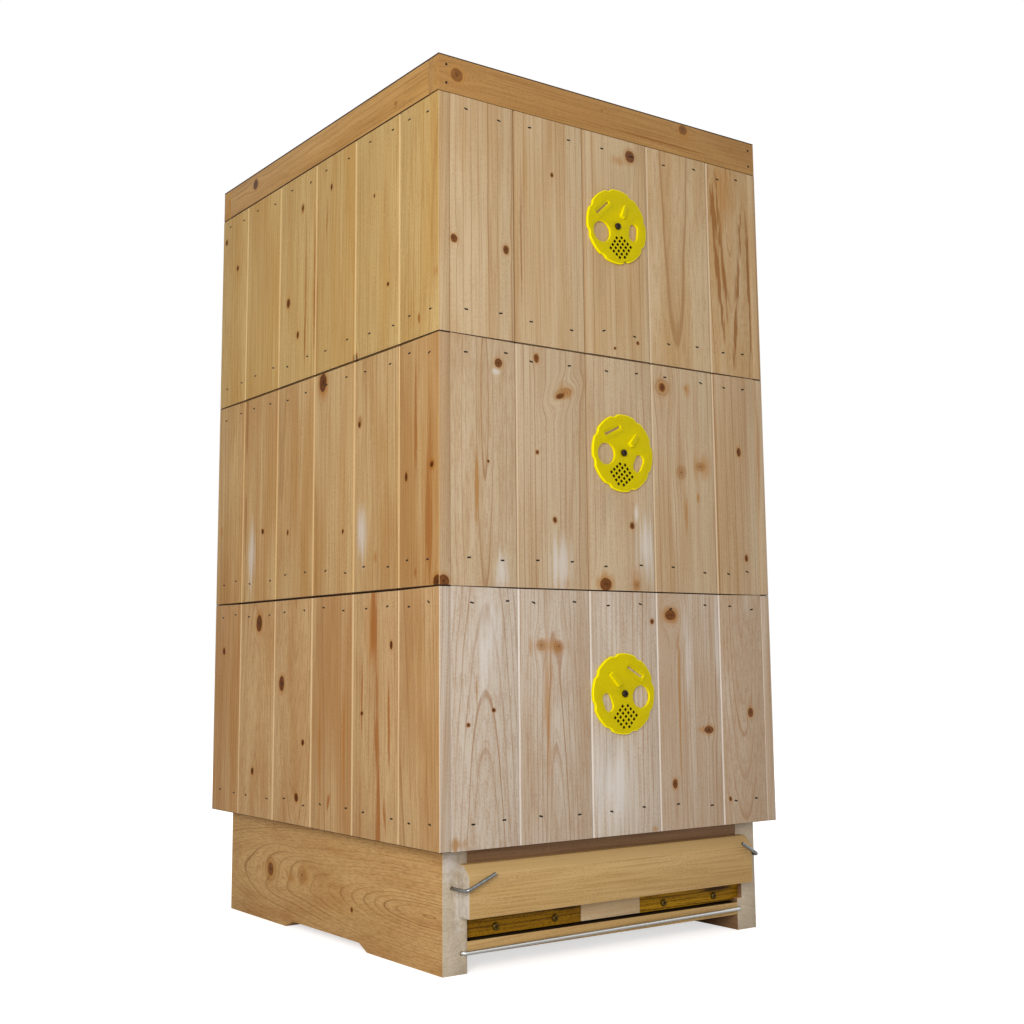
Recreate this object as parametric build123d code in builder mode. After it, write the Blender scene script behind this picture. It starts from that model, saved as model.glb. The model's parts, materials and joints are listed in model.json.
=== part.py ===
"""Insulated beehive: a stand with a mesh floor, three double-walled bodies of frames, and a flat roof.

Millimetres. +Z is up, the front faces -Y, and the origin is on the ground at the middle of the hive.
"""
from build123d import *
import os
from math import cos, floor, radians, sin

os.makedirs("parts", exist_ok=True)

# Whole hive
hive_width = 430.0
hive_depth = 495.0
body_height = 240.0
stand_height = 112.0
shadow_gap = 1.5
rebate = 10.0
fit_gap = 0.2
sliding_gap = 0.3
running_gap = 0.08

# Body walls, from the outside in
cladding = 12.5
cavity = 20.0
lining = 12.5
top_rail_height = 40.0
bottom_rail_height = 30.0

# Tongued and grooved planks
plank_cover = 88.0
plank_gap = 0.4
plank_bevel = 1.2
tongue_length = 6.0
tongue_thickness = 4.0
tongue_clearance = 0.25
front_plank_shift = 6.5

# Frames
frame_pitch = 37.5
frame_end_space = 7.5
frame_rest_drop = 12.0
frame_foot_space = 6.0
lug_clearance = 1.0
lug_thickness = 10.0
top_bar_width = 25.0
top_bar_depth = 18.0
side_bar_thickness = 9.0
side_bar_shoulder = 35.0
shoulder_height = 90.0
shoulder_taper = 12.0
bottom_bar_height = 9.0
foundation_thickness = 2.0

# Entrance discs: across from the middle and up from the body's lower edge, turn of the vent grid, hand
disc_across = {"lower": 2.5, "middle": 7.5, "upper": 5.5}
disc_up = {"lower": 137.5, "middle": 140.5, "upper": 140.0}
disc_turn = {"lower": 3.5, "middle": -6.5, "upper": 10.5}
disc_hand = {"lower": -1, "middle": 1, "upper": 1}
disc_diameter = 80.0
disc_thickness = 3.0
notch_count = 8
notch_radius = 7.0
notch_depth = 1.6
notch_rounding = 3.0
notch_turn = 16.0
hole_circle_radius = 22.5
big_hole_diameter = 22.5
big_hole_turn = -78.0
oblong_length = 19.0
oblong_width = 11.5
oblong_turn = 72.0
slot_radius = 26.0
slot_length = 23.0
slot_width = 3.0
slot_turn = -142.0
slot_tilt = -5.5
slot_frame_width = 2.2
slot_frame_height = 0.5
slot_frame_space = 2.4
grip_turn = -217.0
grip_start = 11.5
grip_end = 26.5
grip_width = 5.0
grip_inner_height = 4.5
grip_outer_height = 2.0
vent_rows = 5
vent_pitch = 4.9
vent_size = 2.6
wall_hole_diameter = 22.0
disc_screw_diameter = 3.5
disc_screw_length = 14.5
disc_screw_head_diameter = 7.0
disc_screw_head_height = 2.4
disc_screw_head_chamfer = 0.9

# Stand
rail_thickness = 27.0
rail_side_inset = 15.5
rail_front_inset = 19.5
rail_rear_inset = 25.0
foot_recess_front = 155.0
foot_recess_rear = 331.0
foot_recess_ramp = 16.0
foot_recess_depth = 7.0
cross_rail_thickness = 22.0
front_rail_height = 30.0

# Entrance, up from the ground
sill_bottom = 16.0
sill_height = 12.5
sill_depth = 28.0
tray_rise = 0.5
tray_thickness = 2.0
mesh_rise = 3.0
mesh_thickness = 1.2
mesh_pitch = 48.0
mesh_wire = 4.0
mesh_border = 6.0
entrance_height = 18.3
bar_recess = 5.5
bar_depth = 18.0
bar_housing = 6.5
bar_lip_depth = 3.0
bar_lip_drop = 2.3
bar_screw_pitch = 70.0
bar_screw_diameter = 3.5
bar_screw_head = 7.0
bar_screw_head_height = 2.0
bar_screw_length = 22.0
batten_width = 14.0
batten_height = 12.0

# Loose entrance block
block_width = 75.0
block_centre = 3.0
block_depth = 14.0
block_recess = 4.5
block_head_space = 1.5
block_side_space = 0.5

# Inspection tray
tray_groove_depth = 7.0
tray_side_space = 0.75
tray_front_space = 22.5
lip_thickness = 12.0
lip_bottom = 13.0
lip_overlap = 12.0
lip_side_space = 8.0
lip_chamfer = 3.0

# Front board
board_thickness = 18.5
board_end_lap = 7.5
board_shift = -2.5
board_top_lap = 6.2
board_chamfer = 9.5

# Wire and screws, drawn with a few flat sides
wire_sides = 8
screw_sides = 12

# Wire hooks that hold the front board
hook_wire = 3.4
hook_board_space = 4.0
hook_bend = 4.5
hook_bore_depth = 22.0
left_hook_inset = 26.0
left_hook_up = 77.0
left_hook_reach = 35.0
left_hook_angle = 22.0
right_hook_inset = 34.0
right_hook_up = 79.5
right_hook_reach = 26.0
right_hook_angle = 30.0

# Wire rod under the sill
rod_wire = 4.0
left_rod_up = 18.5
left_rod_inset = 36.5
right_rod_up = 22.0
right_rod_inset = 39.0
rod_bend = 5.0
rod_bore_depth = 15.0

# Roof
roof_rim_height = 37.0
rim_thickness = 18.0
ceiling_thickness = 4.0
deck_thickness = 8.0
sheet_thickness = 1.0

# Places worked out from the sizes above
half_width = hive_width / 2
half_depth = hive_depth / 2
wall = cladding + cavity + lining
inner_width = hive_width - 2 * wall
inner_depth = hive_depth - 2 * wall
plank_height = body_height - shadow_gap
body_lip = body_height + rebate
body_level = {
    "lower": stand_height,
    "middle": stand_height + body_height,
    "upper": stand_height + 2 * body_height,
}
stand_top = stand_height + rebate
rail_outer = half_width - rail_side_inset
rail_inner = rail_outer - rail_thickness
rail_front = -half_depth + rail_front_inset
rail_rear = half_depth - rail_rear_inset
sill_top = sill_bottom + sill_height
tray_level = sill_top + tray_rise
mesh_level = sill_top + mesh_rise
floor_level = mesh_level + mesh_thickness
entrance_top = floor_level + entrance_height
bar_front = rail_front + bar_recess
bar_rear = bar_front + bar_depth
mesh_front = bar_front + bar_lip_depth + fit_gap
rear_rail_front = rail_rear - cross_rail_thickness
board_front = rail_front - board_thickness
hook_plane = board_front - hook_board_space - hook_wire / 2
middle_height = Align.CENTER, Align.CENTER, Align.MIN


def keep(piece, label):
    """Labels a finished piece and writes its STEP file."""
    piece.label = label
    export_step(piece, f"parts/{label}.step")


def wall_plane(side, level):
    """Plan of one wall: X runs along its outer face, Y goes inwards, Z is up."""
    starts = {
        "front": ((-half_width, -half_depth), (1, 0)),
        "right": ((half_width, -half_depth), (0, 1)),
        "rear": ((half_width, half_depth), (-1, 0)),
        "left": ((-half_width, half_depth), (0, -1)),
    }
    (x, y), (along_x, along_y) = starts[side]
    return Plane(origin=(x, y, level), x_dir=(along_x, along_y, 0), z_dir=(0, 0, 1))


def wall_run(side):
    """Whole length of one wall's outer face."""
    return hive_width if side in ("front", "rear") else hive_depth


def facing_plane(x, y, z):
    """Upright plane seen from the front: X to the right, Y up, Z towards the viewer."""
    return Plane(origin=(x, y, z), x_dir=(1, 0, 0), z_dir=(0, -1, 0))


# Cladding


def plank_edges(start, end, shift):
    """Joint lines of a row of planks: full planks, and two trimmed ones that share the rest."""
    run = end - start
    full_count = floor(run / plank_cover) - 1
    first_joint = start + (run - full_count * plank_cover) / 2 + shift
    joints = [first_joint + index * plank_cover for index in range(full_count + 1)]
    return [start, *joints, end]


def plank_outline(left, right, grooved, tongued):
    """Plan of one plank, with a groove on its left, a tongue on its right and bevels beside both joints."""
    tongue_near = (cladding - tongue_thickness) / 2
    tongue_far = tongue_near + tongue_thickness
    groove_near = tongue_near - tongue_clearance
    groove_far = tongue_far + tongue_clearance
    points = []
    if tongued:
        edge = right - plank_gap / 2
        points += [(edge - plank_bevel, 0), (edge, plank_bevel), (edge, tongue_near)]
        points += [(edge + tongue_length, tongue_near), (edge + tongue_length, tongue_far)]
        points += [(edge, tongue_far), (edge, cladding)]
    else:
        points += [(right, 0), (right, cladding)]
    if grooved:
        edge = left + plank_gap / 2
        groove_end = edge + tongue_length + tongue_clearance
        points += [(edge, cladding), (edge, groove_far), (groove_end, groove_far)]
        points += [(groove_end, groove_near), (edge, groove_near), (edge, plank_bevel)]
        points += [(edge + plank_bevel, 0)]
    else:
        points += [(left, cladding), (left, 0)]
    return points


def cladding_wall(side, level):
    """Upright planks of one wall. The side walls run past the ends of the front and rear walls."""
    inset = cladding + fit_gap if side in ("front", "rear") else 0.0
    shift = front_plank_shift if side == "front" else 0.0
    edges = plank_edges(inset, wall_run(side) - inset, shift)
    last = len(edges) - 2
    with BuildPart() as planks:
        for index in range(last + 1):
            outline = plank_outline(edges[index], edges[index + 1], index > 0, index < last)
            with BuildSketch(wall_plane(side, level)):
                with BuildLine():
                    Polyline(*outline, close=True)
                make_face()
            extrude(amount=plank_height)
    return planks.part


def front_cladding(name):
    """Front planks with the entrance hole and the pilot hole of the disc's screw."""
    with BuildPart() as planks:
        add(cladding_wall("front", body_level[name]))
        with BuildSketch(facing_plane(disc_across[name], -half_depth, wall_hole_up(name))):
            Circle(wall_hole_diameter / 2)
        extrude(amount=-cladding, mode=Mode.SUBTRACT)
        with BuildSketch(facing_plane(disc_across[name], -half_depth, disc_centre_up(name))):
            Circle(disc_screw_diameter / 2 + running_gap)
        extrude(amount=-cladding, mode=Mode.SUBTRACT)
    return planks.part


# Rails, insulation and lining inside the cladding


def ring_strip(side, level, near, thickness, height, long_sides):
    """One straight piece of a four-sided ring: long ones run past the ends of the other two."""
    run = wall_run(side)
    end = near if side in long_sides else near + thickness + fit_gap
    with BuildPart() as strip:
        with BuildSketch(wall_plane(side, level)):
            with Locations((run / 2, near + thickness / 2)):
                Rectangle(run - 2 * end, thickness)
        extrude(amount=height)
    return strip.part


def ring(level, near, thickness, heights, long_sides):
    """Four straight pieces round the hive, with a height for each side."""
    with BuildPart() as pieces:
        for side, height in heights.items():
            add(ring_strip(side, level, near, thickness, height, long_sides))
    return pieces.part


def even_heights(height):
    """The same height on all four sides."""
    return {side: height for side in ("front", "right", "rear", "left")}


def body_lining(name):
    """Inner boards. The front and rear boards stop lower, and the frame lugs rest on them."""
    full = body_lip - rebate
    heights = even_heights(full) | {"front": full - frame_rest_drop, "rear": full - frame_rest_drop}
    with BuildPart() as boards:
        add(ring(body_level[name] + rebate, cladding + cavity, lining, heights, ("left", "right")))
        with BuildSketch(facing_plane(disc_across[name], -half_depth, wall_hole_up(name))):
            Circle(wall_hole_diameter / 2)
        extrude(amount=-wall, mode=Mode.SUBTRACT)
    return boards.part


def body_insulation(name):
    """Slabs that fill the cavity between the bottom rails and the top rails."""
    bottom = rebate + bottom_rail_height
    height = body_lip - top_rail_height - bottom
    with BuildPart() as slabs:
        add(ring(body_level[name] + bottom, cladding, cavity, even_heights(height), ("front", "rear")))
        with BuildSketch(facing_plane(disc_across[name], -half_depth, wall_hole_up(name))):
            Circle(wall_hole_diameter / 2)
        extrude(amount=-wall, mode=Mode.SUBTRACT)
    return slabs.part


def body_rails(level, height):
    """Ring of battens in the cavity, which the planks are stapled to."""
    return ring(level, cladding, cavity, even_heights(height), ("front", "rear"))


# Frames

frame_count = floor(inner_width / frame_pitch)
frame_places = [frame_pitch * (index - (frame_count - 1) / 2) for index in range(frame_count)]
frame_rest = body_lip - frame_rest_drop
frame_length = inner_depth - 2 * frame_end_space
lug_span = inner_depth + 2 * (lining - lug_clearance)
bar_span = frame_length - 2 * (side_bar_thickness + fit_gap)
frame_bottom = rebate + frame_foot_space
top_bar_bottom = frame_rest + lug_thickness - top_bar_depth


def body_frames(level):
    """Frames with lugs, shouldered side bars that set their spacing, and bottom bars."""
    side_top = frame_rest - fit_gap
    shoulder_bottom = side_top - shoulder_height
    half_shoulder = side_bar_shoulder / 2
    half_bar = top_bar_width / 2
    side_outline = [
        (-half_shoulder, side_top),
        (-half_shoulder, shoulder_bottom),
        (-half_bar, shoulder_bottom - shoulder_taper),
        (-half_bar, frame_bottom),
        (half_bar, frame_bottom),
        (half_bar, shoulder_bottom - shoulder_taper),
        (half_shoulder, shoulder_bottom),
        (half_shoulder, side_top),
    ]
    with BuildPart() as frames:
        with Locations(*[(x, 0, level + frame_rest) for x in frame_places]):
            Box(top_bar_width, lug_span, lug_thickness, align=middle_height)
        with Locations(*[(x, 0, level + top_bar_bottom) for x in frame_places]):
            Box(top_bar_width, bar_span, top_bar_depth, align=middle_height)
        for end in (-1, 1):
            side_middle = end * (frame_length - side_bar_thickness) / 2
            with BuildSketch(facing_plane(0, side_middle, level)):
                with Locations(*[(x, 0) for x in frame_places]):
                    Polygon(*side_outline, align=None)
            extrude(amount=side_bar_thickness / 2, both=True)
        with Locations(*[(x, 0, level + frame_bottom) for x in frame_places]):
            Box(top_bar_width, bar_span, bottom_bar_height, align=middle_height)
    return frames.part


def body_foundation(level):
    """Wax sheets that fill the frames between their bars."""
    bottom = frame_bottom + bottom_bar_height + fit_gap
    with BuildPart() as sheets:
        with Locations(*[(x, 0, level + bottom) for x in frame_places]):
            Box(foundation_thickness, bar_span, top_bar_bottom - fit_gap - bottom, align=middle_height)
    return sheets.part


# Entrance discs


def disc_centre_up(name):
    """Height of a disc's screw above the ground."""
    return body_level[name] + disc_up[name]


def wall_hole_up(name):
    """Height of the entrance hole behind a disc: straight below its screw, on the circle of its holes."""
    return disc_centre_up(name) - hole_circle_radius


def disc_angle(name, turn):
    """Direction of a disc feature, in degrees from the right, with the vent grid near the bottom."""
    straight_down = 270.0
    return straight_down + disc_turn[name] + disc_hand[name] * turn


def on_disc(name, radius, turn):
    """Place of a disc feature on the disc's own face."""
    angle = radians(disc_angle(name, turn))
    return radius * cos(angle), radius * sin(angle)


def vent_places():
    """Rows of vent holes, without the two corners that point to and from the screw."""
    middle = (vent_rows - 1) / 2
    places = []
    for row in range(vent_rows):
        for column in range(vent_rows):
            if row == column and row in (0, vent_rows - 1):
                continue
            places.append(((row - middle) * vent_pitch, (column - middle) * vent_pitch))
    return places


def entrance_disc(name):
    """Moulded disc with a scalloped edge, four ways of opening the entrance, and a finger grip."""
    x = disc_across[name]
    z = disc_centre_up(name)
    back = -half_depth - sliding_gap
    front = back - disc_thickness
    radius = disc_diameter / 2
    diamond_turn = 45.0
    slot_lean = disc_angle(name, slot_turn) + 90 + disc_hand[name] * slot_tilt
    slot_spot = Location((*on_disc(name, slot_radius, slot_turn), 0), (0, 0, slot_lean))
    oblong_lean = disc_angle(name, oblong_turn) + 90
    oblong_spot = Location((*on_disc(name, hole_circle_radius, oblong_turn), 0), (0, 0, oblong_lean))
    vent_spot = Location((*on_disc(name, hole_circle_radius, 0), 0), (0, 0, disc_angle(name, 0) - diamond_turn))
    grip_angle = radians(disc_angle(name, grip_turn))
    grip_plane = Plane(
        origin=(x, front, z),
        x_dir=(cos(grip_angle), 0, sin(grip_angle)),
        z_dir=(sin(grip_angle), 0, -cos(grip_angle)),
    )
    with BuildPart() as disc:
        with BuildSketch(facing_plane(x, back, z)) as outline:
            Circle(radius)
            with PolarLocations(radius + notch_radius - notch_depth, notch_count, start_angle=notch_turn):
                Circle(notch_radius, mode=Mode.SUBTRACT)
            fillet(outline.vertices(), notch_rounding)
        extrude(amount=disc_thickness)
        with BuildSketch(facing_plane(x, front, z)):
            with Locations(slot_spot):
                frame_inside = slot_width + 2 * slot_frame_space
                frame_outside = frame_inside + 2 * slot_frame_width
                Rectangle(slot_length + 2 * slot_frame_width, frame_outside)
                Rectangle(slot_length, frame_inside, mode=Mode.SUBTRACT)
        extrude(amount=slot_frame_height)
        with BuildSketch(grip_plane):
            with BuildLine():
                Polyline(
                    (grip_start, 0),
                    (grip_end, 0),
                    (grip_end, grip_outer_height),
                    (grip_start, grip_inner_height),
                    close=True,
                )
            make_face()
        extrude(amount=grip_width / 2, both=True)
        with BuildSketch(facing_plane(x, back, z)):
            Circle(disc_screw_diameter / 2 + running_gap)
            with Locations(on_disc(name, hole_circle_radius, big_hole_turn)):
                Circle(big_hole_diameter / 2)
            with Locations(oblong_spot):
                SlotOverall(oblong_length, oblong_width)
            with Locations(slot_spot):
                Rectangle(slot_length, slot_width)
            with Locations(vent_spot):
                with Locations(*vent_places()):
                    Rectangle(vent_size, vent_size)
        extrude(amount=disc_thickness + slot_frame_height, mode=Mode.SUBTRACT)
    return disc.part


def disc_screw(name):
    """Screw that the disc turns on, with the rim of its head broken."""
    x = disc_across[name]
    z = disc_centre_up(name)
    head_seat = -half_depth - 2 * sliding_gap - disc_thickness
    with BuildPart() as screw:
        with BuildSketch(facing_plane(x, head_seat, z)):
            RegularPolygon(disc_screw_head_diameter / 2, screw_sides)
        extrude(amount=disc_screw_head_height)
        chamfer(screw.faces().sort_by(Axis.Y)[0].edges(), disc_screw_head_chamfer)
        with BuildSketch(facing_plane(x, head_seat, z)):
            RegularPolygon(disc_screw_diameter / 2, screw_sides)
        extrude(amount=-disc_screw_length)
    return screw.part


for name, level in body_level.items():
    keep(front_cladding(name), f"{name}_front_cladding")
    keep(cladding_wall("rear", level), f"{name}_rear_cladding")
    keep(cladding_wall("left", level), f"{name}_left_cladding")
    keep(cladding_wall("right", level), f"{name}_right_cladding")
    keep(body_lining(name), f"{name}_lining")
    keep(body_insulation(name), f"{name}_insulation")
    keep(body_rails(level + rebate, bottom_rail_height), f"{name}_bottom_rails")
    keep(body_rails(level + body_lip - top_rail_height, top_rail_height), f"{name}_top_rails")
    keep(body_frames(level), f"{name}_frames")
    keep(body_foundation(level), f"{name}_foundation")
    keep(entrance_disc(name), f"{name}_disc")
    keep(disc_screw(name), f"{name}_disc_screw")

# Stand rails

foot_front = -half_depth + foot_recess_front
foot_rear = -half_depth + foot_recess_rear
rail_outline = [
    (rail_front, 0),
    (foot_front, 0),
    (foot_front + foot_recess_ramp, foot_recess_depth),
    (foot_rear - foot_recess_ramp, foot_recess_depth),
    (foot_rear, 0),
    (rail_rear, 0),
    (rail_rear, stand_top),
    (rail_front, stand_top),
]
groove_bottom = tray_level - sliding_gap
groove_height = tray_thickness + 2 * sliding_gap
groove_front = rail_front + tray_front_space - sliding_gap


def stand_rail(hand, hook_inset, hook_up, rod_inset, rod_up):
    """Side rail on edge, with foot recess, tray groove, and bores for its hook and its end of the rod."""
    with BuildPart() as rail:
        with BuildSketch(Plane.YZ.offset(hand * rail_outer)):
            with BuildLine():
                Polyline(*rail_outline, close=True)
            make_face()
        extrude(amount=-hand * rail_thickness)
        groove_length = rail_rear - groove_front
        with Locations((hand * rail_inner, groove_front + groove_length / 2, groove_bottom)):
            Box(2 * tray_groove_depth, groove_length, groove_height, align=middle_height, mode=Mode.SUBTRACT)
        with BuildSketch(facing_plane(hand * (half_width - hook_inset), rail_front, hook_up)):
            Circle(hook_wire / 2 + running_gap)
        extrude(amount=-hook_bore_depth, mode=Mode.SUBTRACT)
        with BuildSketch(facing_plane(hand * (half_width - rod_inset), rail_front, rod_up)):
            Circle(rod_wire / 2 + running_gap)
        extrude(amount=-rod_bore_depth, mode=Mode.SUBTRACT)
    return rail.part


keep(stand_rail(-1, left_hook_inset, left_hook_up, left_rod_inset, left_rod_up), "stand_left_rail")

with BuildPart() as right_rail:
    add(stand_rail(1, right_hook_inset, right_hook_up, right_rod_inset, right_rod_up))
    housing_depth = bar_rear + fit_gap - rail_front
    with Locations((rail_inner, rail_front + housing_depth / 2, floor_level - fit_gap)):
        Box(
            2 * (bar_housing + fit_gap),
            housing_depth,
            entrance_height + 2 * fit_gap,
            align=middle_height,
            mode=Mode.SUBTRACT,
        )
keep(right_rail.part, "stand_right_rail")

with BuildPart() as front_rail:
    with Locations((0, rail_front + cross_rail_thickness / 2, stand_top - front_rail_height)):
        Box(2 * rail_inner, cross_rail_thickness, front_rail_height, align=middle_height)
keep(front_rail.part, "stand_front_rail")

with BuildPart() as rear_rail:
    with Locations((0, rail_rear - cross_rail_thickness / 2, floor_level)):
        Box(2 * rail_inner, cross_rail_thickness, stand_top - floor_level, align=middle_height)
keep(rear_rail.part, "stand_rear_rail")

# Entrance

with BuildPart() as sill:
    with Locations((0, rail_front + sill_depth / 2, sill_bottom)):
        Box(2 * rail_inner, sill_depth, sill_height, align=middle_height)
keep(sill.part, "entrance_sill")

opening_left = block_centre - block_width / 2 - block_side_space
opening_right = block_centre + block_width / 2 + block_side_space
left_bar_span = (-rail_inner, opening_left)
right_bar_span = (opening_right, rail_inner + bar_housing)
bar_screw_places = [block_centre + step * bar_screw_pitch for step in (-2, -1, 1, 2)]
bar_screw_up = floor_level + entrance_height / 4

with BuildPart() as bars:
    for start, end in (left_bar_span, right_bar_span):
        with Locations(((start + end) / 2, (bar_front + bar_rear) / 2, floor_level)):
            Box(end - start, bar_depth, entrance_height, align=middle_height)
        lip_end = min(end, rail_inner)
        with Locations(((start + lip_end) / 2, bar_front + bar_lip_depth / 2, floor_level - bar_lip_drop)):
            Box(lip_end - start, bar_lip_depth, entrance_height + bar_lip_drop, align=middle_height)
    for x in bar_screw_places:
        with BuildSketch(facing_plane(x, bar_front, bar_screw_up)):
            RegularPolygon(bar_screw_diameter / 2 + running_gap, screw_sides)
        extrude(amount=-bar_depth, mode=Mode.SUBTRACT)
keep(bars.part, "entrance_bars")

with BuildPart() as bar_screws:
    for x in bar_screw_places:
        with BuildSketch(facing_plane(x, bar_front, bar_screw_up)):
            RegularPolygon(bar_screw_head / 2, screw_sides)
        extrude(amount=bar_screw_head_height)
        with BuildSketch(facing_plane(x, bar_front, bar_screw_up)):
            RegularPolygon(bar_screw_diameter / 2, screw_sides)
        extrude(amount=-bar_screw_length)
keep(bar_screws.part, "entrance_bar_screws")

with BuildPart() as block:
    block_height = entrance_height - block_head_space
    block_front = rail_front + block_recess
    block_lip_depth = mesh_front - sliding_gap - block_front
    block_bottom = floor_level + sliding_gap
    with Locations((block_centre, block_front + block_depth / 2, block_bottom)):
        Box(block_width, block_depth, block_height, align=middle_height)
    with Locations((block_centre, block_front + block_lip_depth / 2, block_bottom - bar_lip_drop)):
        Box(block_width, block_lip_depth, block_height + bar_lip_drop, align=middle_height)
keep(block.part, "entrance_block")

# Floor

mesh_length = rear_rail_front - mesh_front
mesh_columns = floor((2 * rail_inner - 2 * mesh_border) / mesh_pitch)
mesh_rows = floor((mesh_length - 2 * mesh_border) / mesh_pitch)

with BuildPart() as mesh:
    with BuildSketch(Plane.XY.offset(mesh_level)):
        with Locations((0, mesh_front + mesh_length / 2)):
            Rectangle(2 * rail_inner, mesh_length)
            with GridLocations(mesh_pitch, mesh_pitch, mesh_columns, mesh_rows):
                Rectangle(mesh_pitch - mesh_wire, mesh_pitch - mesh_wire, mode=Mode.SUBTRACT)
    extrude(amount=mesh_thickness)
keep(mesh.part, "floor_mesh")

front_batten_rear = bar_rear + batten_width
rear_batten_front = rear_rail_front - batten_width
side_batten_length = rear_batten_front - front_batten_rear - 2 * fit_gap
side_batten_middle = (rear_batten_front + front_batten_rear) / 2

with BuildPart() as battens:
    for start, end in ((-rail_inner, opening_left), (opening_right, rail_inner)):
        with Locations(((start + end) / 2, bar_rear + batten_width / 2, floor_level)):
            Box(end - start, batten_width, batten_height, align=middle_height)
    for hand in (-1, 1):
        with Locations((hand * (rail_inner - batten_width / 2), side_batten_middle, floor_level)):
            Box(batten_width, side_batten_length, batten_height, align=middle_height)
    with Locations((0, rear_batten_front + batten_width / 2, floor_level)):
        Box(2 * rail_inner, batten_width, batten_height, align=middle_height)
    for x in bar_screw_places:
        with BuildSketch(facing_plane(x, bar_rear, bar_screw_up)):
            RegularPolygon(bar_screw_diameter / 2 + running_gap, screw_sides)
        extrude(amount=-batten_width, mode=Mode.SUBTRACT)
keep(battens.part, "floor_battens")

tray_front = rail_front + tray_front_space
tray_half_width = rail_inner + tray_groove_depth - tray_side_space
lip_front = rail_rear + sliding_gap
lip_height = floor_level + lip_overlap - lip_bottom

with BuildPart() as tray:
    with Locations((0, (tray_front + lip_front) / 2, tray_level)):
        Box(2 * tray_half_width, lip_front - tray_front, tray_thickness, align=middle_height)
keep(tray.part, "tray_sheet")

with BuildPart() as lip:
    with Locations((0, lip_front + lip_thickness / 2, lip_bottom)):
        Box(2 * (rail_inner - lip_side_space), lip_thickness, lip_height, align=middle_height)
    chamfer(lip.faces().sort_by(Axis.Y)[-1].edges(), lip_chamfer)
keep(lip.part, "tray_lip")

# Front board

board_half_width = rail_inner + board_end_lap
board_top = stand_top - front_rail_height + board_top_lap

with BuildPart() as board:
    with BuildSketch(Plane.YZ.offset(board_shift - board_half_width)):
        with BuildLine():
            Polyline(
                (rail_front, entrance_top),
                (board_front, entrance_top),
                (board_front, board_top - board_chamfer),
                (board_front + board_chamfer, board_top),
                (rail_front, board_top),
                close=True,
            )
        make_face()
    extrude(amount=2 * board_half_width)
keep(board.part, "front_board")

# Bent wire


def bent_wire(points, bend, thickness):
    """Wire along straight runs with rounded bends."""
    with BuildPart() as wire:
        with BuildLine() as path:
            FilletPolyline(*points, radius=bend)
        with BuildSketch(Plane(origin=path.line @ 0, z_dir=path.line % 0)):
            RegularPolygon(thickness / 2, wire_sides)
        sweep(path=path.line)
    return wire.part


def board_hook(hand, inset, up, reach, angle):
    """Hook whose shank turns in the post and whose leg lies across the front board."""
    x = hand * (half_width - inset)
    shank_end = rail_front + hook_bore_depth - sliding_gap
    tip_x = x - hand * reach * cos(radians(angle))
    tip_z = up + reach * sin(radians(angle))
    points = [(x, shank_end, up), (x, hook_plane, up), (tip_x, hook_plane, tip_z)]
    return bent_wire(points, hook_bend, hook_wire)


keep(board_hook(-1, left_hook_inset, left_hook_up, left_hook_reach, left_hook_angle), "left_hook")
keep(board_hook(1, right_hook_inset, right_hook_up, right_hook_reach, right_hook_angle), "right_hook")

left_rod_x = left_rod_inset - half_width
right_rod_x = half_width - right_rod_inset
rod_y = rail_front - rod_wire / 2 - sliding_gap
rod_leg_end = rail_front + rod_bore_depth - sliding_gap
rod_points = [
    (left_rod_x, rod_leg_end, left_rod_up),
    (left_rod_x, rod_y, left_rod_up),
    (right_rod_x, rod_y, right_rod_up),
    (right_rod_x, rod_leg_end, right_rod_up),
]
keep(bent_wire(rod_points, rod_bend, rod_wire), "sill_rod")

# Roof

roof_bottom = body_level["upper"] + plank_height + sliding_gap
roof_top = body_level["upper"] + plank_height + roof_rim_height
ceiling_level = body_level["upper"] + body_lip
deck_level = roof_top - deck_thickness
skirt = cladding - sliding_gap
roof_inner_width = hive_width - 2 * rim_thickness
roof_inner_depth = hive_depth - 2 * rim_thickness


def rim_board(side):
    """Rim board with a rebate that laps over the top rails. The front and rear boards cover the ends."""
    run = wall_run(side)
    covers = side in ("front", "rear")
    end = 0.0 if covers else rim_thickness
    rebate_end = skirt if covers else end
    with BuildPart() as board:
        with BuildSketch(wall_plane(side, roof_bottom)):
            with Locations((run / 2, rim_thickness / 2)):
                Rectangle(run - 2 * end, rim_thickness)
        extrude(amount=roof_top - roof_bottom)
        with BuildSketch(wall_plane(side, roof_bottom)):
            with Locations((run / 2, (skirt + rim_thickness) / 2)):
                Rectangle(run - 2 * rebate_end, rim_thickness - skirt)
        extrude(amount=ceiling_level - roof_bottom, mode=Mode.SUBTRACT)
    return board.part


for side in ("front", "rear", "left", "right"):
    keep(rim_board(side), f"roof_{side}_board")


def roof_layer(level, height):
    """Flat layer that fills the inside of the rim."""
    with BuildPart() as layer:
        with Locations((0, 0, level)):
            Box(roof_inner_width, roof_inner_depth, height, align=middle_height)
    return layer.part


insulation_level = ceiling_level + ceiling_thickness
keep(roof_layer(ceiling_level, ceiling_thickness), "roof_ceiling")
keep(roof_layer(insulation_level, deck_level - insulation_level), "roof_insulation")
keep(roof_layer(deck_level, deck_thickness), "roof_deck")

with BuildPart() as sheet:
    with Locations((0, 0, roof_top)):
        Box(hive_width, hive_depth, sheet_thickness, align=middle_height)
keep(sheet.part, "roof_sheet")
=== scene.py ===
"""Insulated beehive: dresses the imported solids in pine, moulded plastic, wire and coated sheet."""
from __future__ import annotations

import json
import logging
import math
import random
from dataclasses import dataclass, field, replace
from enum import Enum
from functools import reduce

import bpy
from bpy.types import Material, Mesh, NodeSocket, NodeTree
from bpy.types import Object as Piece
from mathutils import Matrix, Vector

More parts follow.
